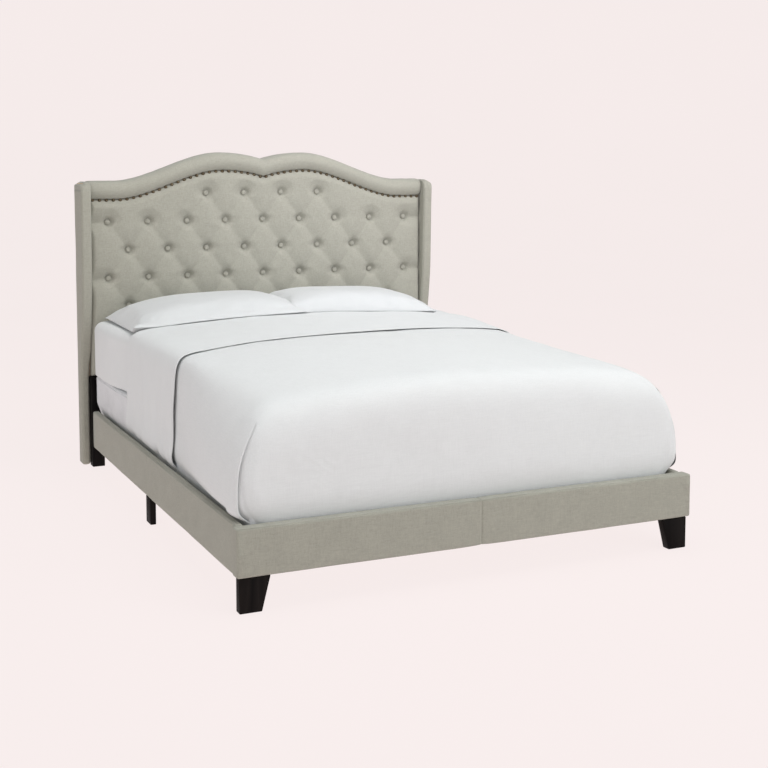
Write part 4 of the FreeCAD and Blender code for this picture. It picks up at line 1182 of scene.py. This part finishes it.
def make_fitted_sheet():
    """Fitted sheet over the mattress, from under the cuff to the head, drawn in below."""
    low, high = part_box("fitted_sheet")
    name = "fitted_sheet_percale"
    sheet = rounded_box(name, (low.x, low.y + 0.012, low.z),
                        (high.x, high.y, SHEET_TOP), radius=0.040, bottom=0.010)
    points = points_of(sheet)
    # its top follows the made bed just below the cloth, and lies lower where that hides it
    inside = smoothstep(low.x, low.x + 0.12, points[:, 0]) * smoothstep(
        -low.x, -low.x - 0.12, points[:, 0])
    ends = smoothstep(low.y, low.y + 0.3, points[:, 1])
    upper = smoothstep(SHEET_TOP - 0.05, SHEET_TOP, points[:, 2])
    covered = low.y + COVERED
    bare = smoothstep(covered - 0.02, covered + 0.02, points[:, 1])
    target = top_height(points[:, 0], points[:, 1]) - mix(0.010, 0.003, bare)
    points[:, 2] += upper * inside * (target - SHEET_TOP) * ends
    points[:, 2] -= upper * (1 - ends) * 0.03
    hidden = smoothstep(low.y + 1.15, low.y + 0.75, points[:, 1])
    points[:, 2] -= upper * hidden * 0.034
    # narrow under the coverlet, and full between the wings
    foot = smoothstep(covered, low.y + 1.05, points[:, 1])
    shrink = 1 - foot * mix(0.02, 0.10, smoothstep(0.45, 0.62, points[:, 2]))
    full = 1 + HEAD_FULLNESS * smoothstep(covered - 0.01, low.y + 1.75, points[:, 1])
    points[:, 0] *= shrink * full
    points[:, 1] -= head_gap(points[:, 1], high.y)
    # its foot end leans back, and its sides show the pull of the corners
    front = smoothstep(low.y + 0.16, low.y, points[:, 1])
    points[:, 1] += front * 0.09 * smoothstep(0.48, 0.62, points[:, 2])
    side = smoothstep(0.03, 0.0, np.abs(np.abs(points[:, 0]) - high.x))
    tension = 0.0016 * side * np.sin(points[:, 1] * 2 * math.pi / 0.09 + 6 * points[:, 2])
    points[:, 0] -= np.sign(points[:, 0]) * np.abs(tension) * smoothstep(0.62, 0.45, points[:, 2])
    move_points(sheet, points)
    # underneath, only the turned edge is cloth
    inner = ((np.abs(points[:, 0]) < high.x - TURN_UNDER)
             & (points[:, 1] > low.y + TURN_UNDER) & (points[:, 1] < high.y - TURN_UNDER))
    faces = [list(f.vertices) for f in sheet.data.polygons
             if not (f.normal.z < -0.9 and all(inner[v] for v in f.vertices))]
    used = sorted({i for f in faces for i in f})
    index = {old: new for new, old in enumerate(used)}
    kept = points[used]
    bpy.data.objects.remove(sheet)
    sheet = new_piece(name, kept, [[index[i] for i in f] for f in faces])
    settle(sheet, "mattress", "white_percale", "fitted_sheet")


def make_mattress():
    low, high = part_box("mattress")
    inset = 0.004
    body = rounded_box("mattress_quilted_body", (low.x + inset, low.y + 0.03, low.z + 0.001),
                       (high.x - inset, high.y - inset, MATTRESS_BODY_TOP), radius=0.03)
    points = points_of(body)
    # narrower and lower towards the foot, so that it stays under the cloth
    squeeze = smoothstep(low.y + COVERED, low.y + 1.05, points[:, 1])
    points[:, 0] *= 1 - 0.012 - 0.05 * squeeze
    raised = smoothstep(0.45, MATTRESS_BODY_TOP, points[:, 2])
    points[:, 0] *= 1 - 0.06 * raised * smoothstep(low.y + 0.40, low.y, points[:, 1])
    points[:, 2] -= 0.03 * raised * smoothstep(low.y + 0.8, low.y + 0.2, points[:, 1])
    points[:, 1] += 0.06 * raised * smoothstep(low.y + 0.25, low.y, points[:, 1])
    # quilted underneath
    under = smoothstep(low.z + 0.02, low.z, points[:, 2])
    quilt = np.abs(np.sin(points[:, 0] * math.pi / 0.12) * np.sin(points[:, 1] * math.pi / 0.12))
    points[:, 2] += under * 0.004 * (1 - quilt ** 0.4)
    move_points(body, points)
    settle(body, "mattress", "ticking", "mattress")


def plan_loop(low, high, inset, radius, z):
    """Rounded rectangle seen from above."""
    points = []
    cx, cy = high.x - inset - radius, high.y - inset - radius
    fx, fy = low.x + inset + radius, low.y + inset + radius
    for corner, (x, y) in enumerate(((cx, cy), (fx, cy), (fx, fy), (cx, fy))):
        for i in range(9):
            angle = (corner + i / 8) * math.pi / 2
            points.append((x + radius * math.cos(angle), y + radius * math.sin(angle), z))
    dense = []
    for a, b in zip(points, points[1:] + points[:1]):
        a, b = np.array(a), np.array(b)
        count = max(1, int(np.linalg.norm(b - a) / 0.05))
        dense += [a + (b - a) * i / count for i in range(count)]
    return np.array(dense)


def make_box_spring():
    low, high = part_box("box_spring_cover")
    inset = 0.003
    box = rounded_box("box_spring_fabric_case", (low.x + inset, low.y + inset, low.z + 0.0005),
                      (high.x - inset, high.y - inset, high.z - 0.0005),
                      radius=0.012, swell=0.0015)
    points = points_of(box)
    side = smoothstep(0.03, 0.0, np.abs(np.abs(points[:, 0]) - high.x))
    middle = smoothstep(low.z, low.z + 0.05, points[:, 2]) * smoothstep(
        high.z, high.z - 0.05, points[:, 2])
    slack = 0.0012 * side * middle * ripple(points * np.array([1, 1, 0.3]), 0.12, 71)
    points[:, 0] -= np.sign(points[:, 0]) * np.abs(slack)
    above_rails = smoothstep(rail_high.z - 0.02, rail_high.z + 0.02, points[:, 2])
    points[:, 0] *= 1 + above_rails * (box_fullness(points[:, 1]) - 1)
    points[:, 1] -= head_gap(points[:, 1], high.y)
    move_points(box, points)
    settle(box, "box_spring", "ticking", "box_spring_cover")
    cords = []
    for number, z in enumerate((low.z + 0.012, high.z - 0.012)):
        loop = plan_loop(low, high, 0.0032, 0.014, z)
        if z > rail_high.z:
            loop[:, 0] *= box_fullness(loop[:, 1])
        loop[:, 1] -= head_gap(loop[:, 1], high.y)
        cords.append(tube(f"cord_{number}", loop, 0.0025))
    piping = join("box_spring_piping", cords)
    settle(piping, "box_spring", "ticking")


SPRING_RADIUS = 0.028
SPRING_WIRE = 0.0012
SPRING_WIRE_SIDES = 5
SPRING_TURNS = 6


def make_springs(name, node, body, top):
    """Coil springs in the places of the CAD rods, which only stand for their steel."""
    spots = clusters(node, (0, 1), 0.02)
    bottom = spots[0][0][2] + SPRING_WIRE
    turn = np.linspace(0, 2 * math.pi * SPRING_TURNS, SPRING_TURNS * 12 + 1)
    waist = SPRING_RADIUS * (0.8 + 0.2 * np.cos(turn / SPRING_TURNS))
    height = np.linspace(bottom, top - SPRING_WIRE, len(turn))
    path = np.stack([waist * np.cos(turn), waist * np.sin(turn), height], 1)
    one = tube("one_spring", path, SPRING_WIRE, SPRING_WIRE_SIDES, closed=False)
    shape = points_of(one)
    shape_faces = [list(f.vertices) for f in one.data.polygons]
    first = list(range(SPRING_WIRE_SIDES))
    shape_faces += [first[::-1], [i + len(shape) - SPRING_WIRE_SIDES for i in first]]
    bpy.data.objects.remove(one)
    points = []
    faces = []
    for number, (low, high) in enumerate(spots):
        middle = (low + high) / 2
        points.append(shape + np.array([middle[0], middle[1], 0]))
        faces += [[number * len(shape) + i for i in f] for f in shape_faces]
    springs = outward(new_piece(name, np.vstack(points), faces))
    settle(springs, body, "spring_steel", node)


# ---------------------------------------------------------------- pillows

PILLOW_COLUMNS = 64
PILLOW_ROWS = 46
PILLOW_WAIST = 0.035
PILLOW_SEAM_LIFT = 0.004
PILLOW_DROOP = 0.014
PILLOW_REAR_LIFT = 0.006
PILLOW_PRESSURE = 2.0
PILLOW_MOVE = 0.012


def simulate(piece, pressure, cap, frames=20):
    """Inflate a sewn case with cloth physics, and keep points near where they began."""
    before = points_of(piece)
    modifier = piece.modifiers.new("Cloth", "CLOTH")
    cloth = modifier.settings
    cloth.quality = 6
    cloth.mass = 0.2
    cloth.tension_stiffness = 20
    cloth.compression_stiffness = 8
    cloth.bending_stiffness = 0.3
    cloth.use_pressure = True
    cloth.uniform_pressure_force = pressure
    cloth.effector_weights.gravity = 0
    modifier.point_cache.frame_start = 1
    modifier.point_cache.frame_end = frames + 1
    scene = bpy.context.scene
    for number in range(1, frames + 1):
        scene.frame_set(number)
    depsgraph = bpy.context.evaluated_depsgraph_get()
    result = piece.evaluated_get(depsgraph).to_mesh()
    after = np.array([v.co for v in result.vertices])
    piece.evaluated_get(depsgraph).to_mesh_clear()
    piece.modifiers.remove(modifier)
    scene.frame_set(1)
    move = after - before
    size = np.linalg.norm(move, axis=1, keepdims=True)
    move *= np.minimum(1, cap / np.maximum(size, 1e-9))
    move_points(piece, before + move)


def pillow_case(name, width, depth, height):
    """Sewn case, filled a little: two crowned sheets that meet at a sharp seam."""
    s = np.sin(np.linspace(-1, 1, PILLOW_COLUMNS) * math.pi / 2)
    t = np.sin(np.linspace(-1, 1, PILLOW_ROWS) * math.pi / 2)
    u, v = np.meshgrid(s, t)
    x = width / 2 * u * (1 - PILLOW_WAIST * 0.5 * (1 - v * v))
    y = depth / 2 * v * (1 - PILLOW_WAIST * (1 - u * u))
    full = (1 - np.abs(u) ** 4) ** 0.72 * (1 - np.abs(v) ** 3) ** 0.72
    top = np.stack([x, y, height * full], 2).reshape(-1, 3)
    bottom = np.stack([x, y, -0.15 * height * full], 2).reshape(-1, 3)
    inner = [(r, c) for r in range(1, PILLOW_ROWS - 1) for c in range(1, PILLOW_COLUMNS - 1)]
    under = {r * PILLOW_COLUMNS + c: len(top) + k for k, (r, c) in enumerate(inner)}
    points = np.vstack([top, bottom[[r * PILLOW_COLUMNS + c for r, c in inner]]])
    faces = grid_faces(PILLOW_ROWS, PILLOW_COLUMNS)
    faces += [[under.get(i, i) for i in f][::-1] for f in faces]
    return new_piece(name, points, faces)


def make_pillow(side, centre, size, turn, seed):
    """Inflated pillow laid on the bed: full above, flat below, its seam just above the bed."""
    width, depth, height = size
    pillow = pillow_case(f"pillow_{side}_soft", width, depth, height)
    simulate(pillow, PILLOW_PRESSURE, PILLOW_MOVE)
    p = points_of(pillow)
    p[:, 0] *= width / np.ptp(p[:, 0])
    p[:, 1] *= depth / np.ptp(p[:, 1])
    upper = np.clip(p[:, 2], 0, None)
    upper *= height / upper.max()
    below = p[:, 2] < -1e-5
    share = p[:, 1] / (depth / 2)
    edge = np.maximum(np.abs(p[:, 0]) / (width / 2), np.abs(share))
    coords = p[:, :2]
    pucker = 0.0030 * ripple(coords, 0.045, seed) * np.exp(-((edge - 0.86) / 0.10) ** 2)
    slack = 0.0028 * ripple(coords, 0.17, seed + 1)
    upper += (slack + pucker) * smoothstep(0.004, 0.04, upper)
    lift = PILLOW_REAR_LIFT * smoothstep(-0.2, 1.0, share)
    c, s = math.cos(turn), math.sin(turn)
    x = centre[0] + p[:, 0] * c - p[:, 1] * s
    y = centre[1] + p[:, 0] * s + p[:, 1] * c
    bed = top_height(np.clip(x, -0.66, 0.66), y)
    on_sheet = smoothstep(0.02, -0.01, y - (FOOT_Y + SHEET_HEAD))
    rest = bed + 0.003 + SHEET_RISE * on_sheet
    rest = rest - PILLOW_DROOP * smoothstep(0.66, 0.76, np.abs(x)) * (1 - on_sheet)
    side_lift = PILLOW_SEAM_LIFT * np.clip(np.abs(p[:, 0]) / (width / 2), 0, 1) ** 6
    seam = rest + 0.002 + side_lift
    tucked = np.clip(edge, 0, 1) ** 14
    z = np.where(below, mix(rest, seam, tucked), seam + upper) + lift
    move_points(pillow, np.stack([x, y, z], 1))
    finer = pillow.modifiers.new("finer", "SUBSURF")
    finer.levels = finer.render_levels = 1
    settle(pillow, f"pillow_{side}", "white_pillowcase", f"pillow_{side}")


def make_pillows():
    """The left pillow lies a little in front of the right one where they meet."""
    low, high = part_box("pillow_left")
    middle = (low.y + high.y) / 2
    make_pillow("left", (-0.378, middle - 0.012), (0.755, 0.520, 0.086), turn=0.0, seed=81)
    make_pillow("right", (0.288, middle + 0.008), (0.700, 0.490, 0.084), turn=-0.07, seed=91)


# ---------------------------------------------------------------- room

BACKDROP = (0.938, 0.855, 0.846)
FLOOR_GLOW = 0.945
FLOOR_DIFFUSE = 0.06


def make_stage():
    """Pale floor that curves up into a backdrop all round."""
    s = Shader("pale_floor", BACKDROP, 1.0, Specular_IOR_Level=0.0)
    cloud = s.noise(s.coords, 0.8, 2.0)
    glow = s.ramp(cloud, (0.3, BACKDROP), (0.7, shade(BACKDROP, 1.004)))
    s.put(s.bsdf.inputs["Emission Color"], glow)
    s.bsdf.inputs["Emission Strength"].default_value = FLOOR_GLOW
    s.finish((*shade(BACKDROP, FLOOR_DIFFUSE), 1))
    radii = [0.01, 2.0, 5.0, 9.0, 12.0, 14.0, 15.3, 16.0]
    heights = [0.0, 0.0, 0.0, 0.0, 0.2, 0.9, 2.1, 4.2]
    sides = 64
    points = []
    for radius, height in zip(radii, heights):
        for k in range(sides):
            angle = 2 * math.pi * k / sides
            points.append((radius * math.cos(angle), radius * math.sin(angle), height))
    faces = grid_faces(len(radii), sides, round_columns=True, flip=True)
    faces.append(list(range(sides)))
    floor = new_piece("pale_floor", points, faces)
    floor.data.materials.append(s.material)


def aimed(name, data, place, target):
    """A light or camera put in its place and turned to its target."""
    thing = bpy.data.objects.new(name, data)
    thing.location = place
    thing.rotation_euler = (Vector(target) - Vector(place)).to_track_quat("-Z", "Y").to_euler()
    bpy.context.scene.collection.objects.link(thing)
    return thing


def area_light(name, place, target, size, power, color):
    data = bpy.data.lights.new(name, "AREA")
    data.size = size
    data.energy = power
    data.color = color
    aimed(name, data, place, target)


def make_lights():
    """Soft light from above and in front, and a soft spot that lifts the headboard."""
    warm = (1.0, 0.98, 0.975)
    cool = (0.90, 1.0, 1.01)
    area_light("overhead", (0.4, -1.1, 4.4), (0, 0, 0.5), size=3.6, power=138, color=warm)
    area_light("front_right", (3.2, -5.2, 3.0), (0, 0, 0.5), size=2.4, power=92, color=cool)
    area_light("left", (-5.0, -1.5, 2.4), (0, 0, 0.4), size=2.4, power=30, color=cool)
    spot = bpy.data.lights.new("headboard", "SPOT")
    spot.energy = 162
    spot.color = (0.97, 0.97, 1.10)
    spot.spot_size = math.radians(30)
    spot.spot_blend = 0.8
    spot.shadow_soft_size = 0.5
    aimed("headboard", spot, (0.9, -2.4, 2.9), (0.35, 1.0, 1.15))
    world = bpy.data.worlds.new("soft_room")
    world.use_nodes = True
    background = next(n for n in world.node_tree.nodes if n.type == "BACKGROUND")
    background.inputs[0].default_value = (0.95, 1.0, 1.0, 1)
    background.inputs[1].default_value = 0.25
    bpy.context.scene.world = world


CAMERA_YAW = math.radians(24.705)
CAMERA_PITCH = math.radians(5.207)
CAMERA_LENS = 61.39
CAMERA_PLACE = Vector((-2.0227, -4.7149, 1.3607))
CAMERA_SHIFT = (0.0020, -0.1392)


def make_camera():
    data = bpy.data.cameras.new("camera")
    data.sensor_width = 36
    data.lens = CAMERA_LENS
    data.shift_x, data.shift_y = CAMERA_SHIFT
    ahead = Vector((math.sin(CAMERA_YAW) * math.cos(CAMERA_PITCH),
                    math.cos(CAMERA_YAW) * math.cos(CAMERA_PITCH), -math.sin(CAMERA_PITCH)))
    bpy.context.scene.camera = aimed("camera", data, CAMERA_PLACE, CAMERA_PLACE + ahead)
    bpy.context.scene.view_settings.view_transform = "Standard"


# ---------------------------------------------------------------- everything

finish_cad_nodes()
make_camera()
make_lights()
make_stage()
make_buttons(make_pad())
make_roll()
make_nails()
make_back()
make_wings()
make_rails()
make_legs()
make_box_spring()
make_springs("box_spring_coil_set", "box_spring_coils", "box_spring",
             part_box("box_spring_coils")[1].z)
make_mattress()
make_springs("mattress_coil_set", "mattress_springs", "mattress", MATTRESS_SPRING_TOP)
make_fitted_sheet()
make_coverlet()
make_cuff()
make_pillows()
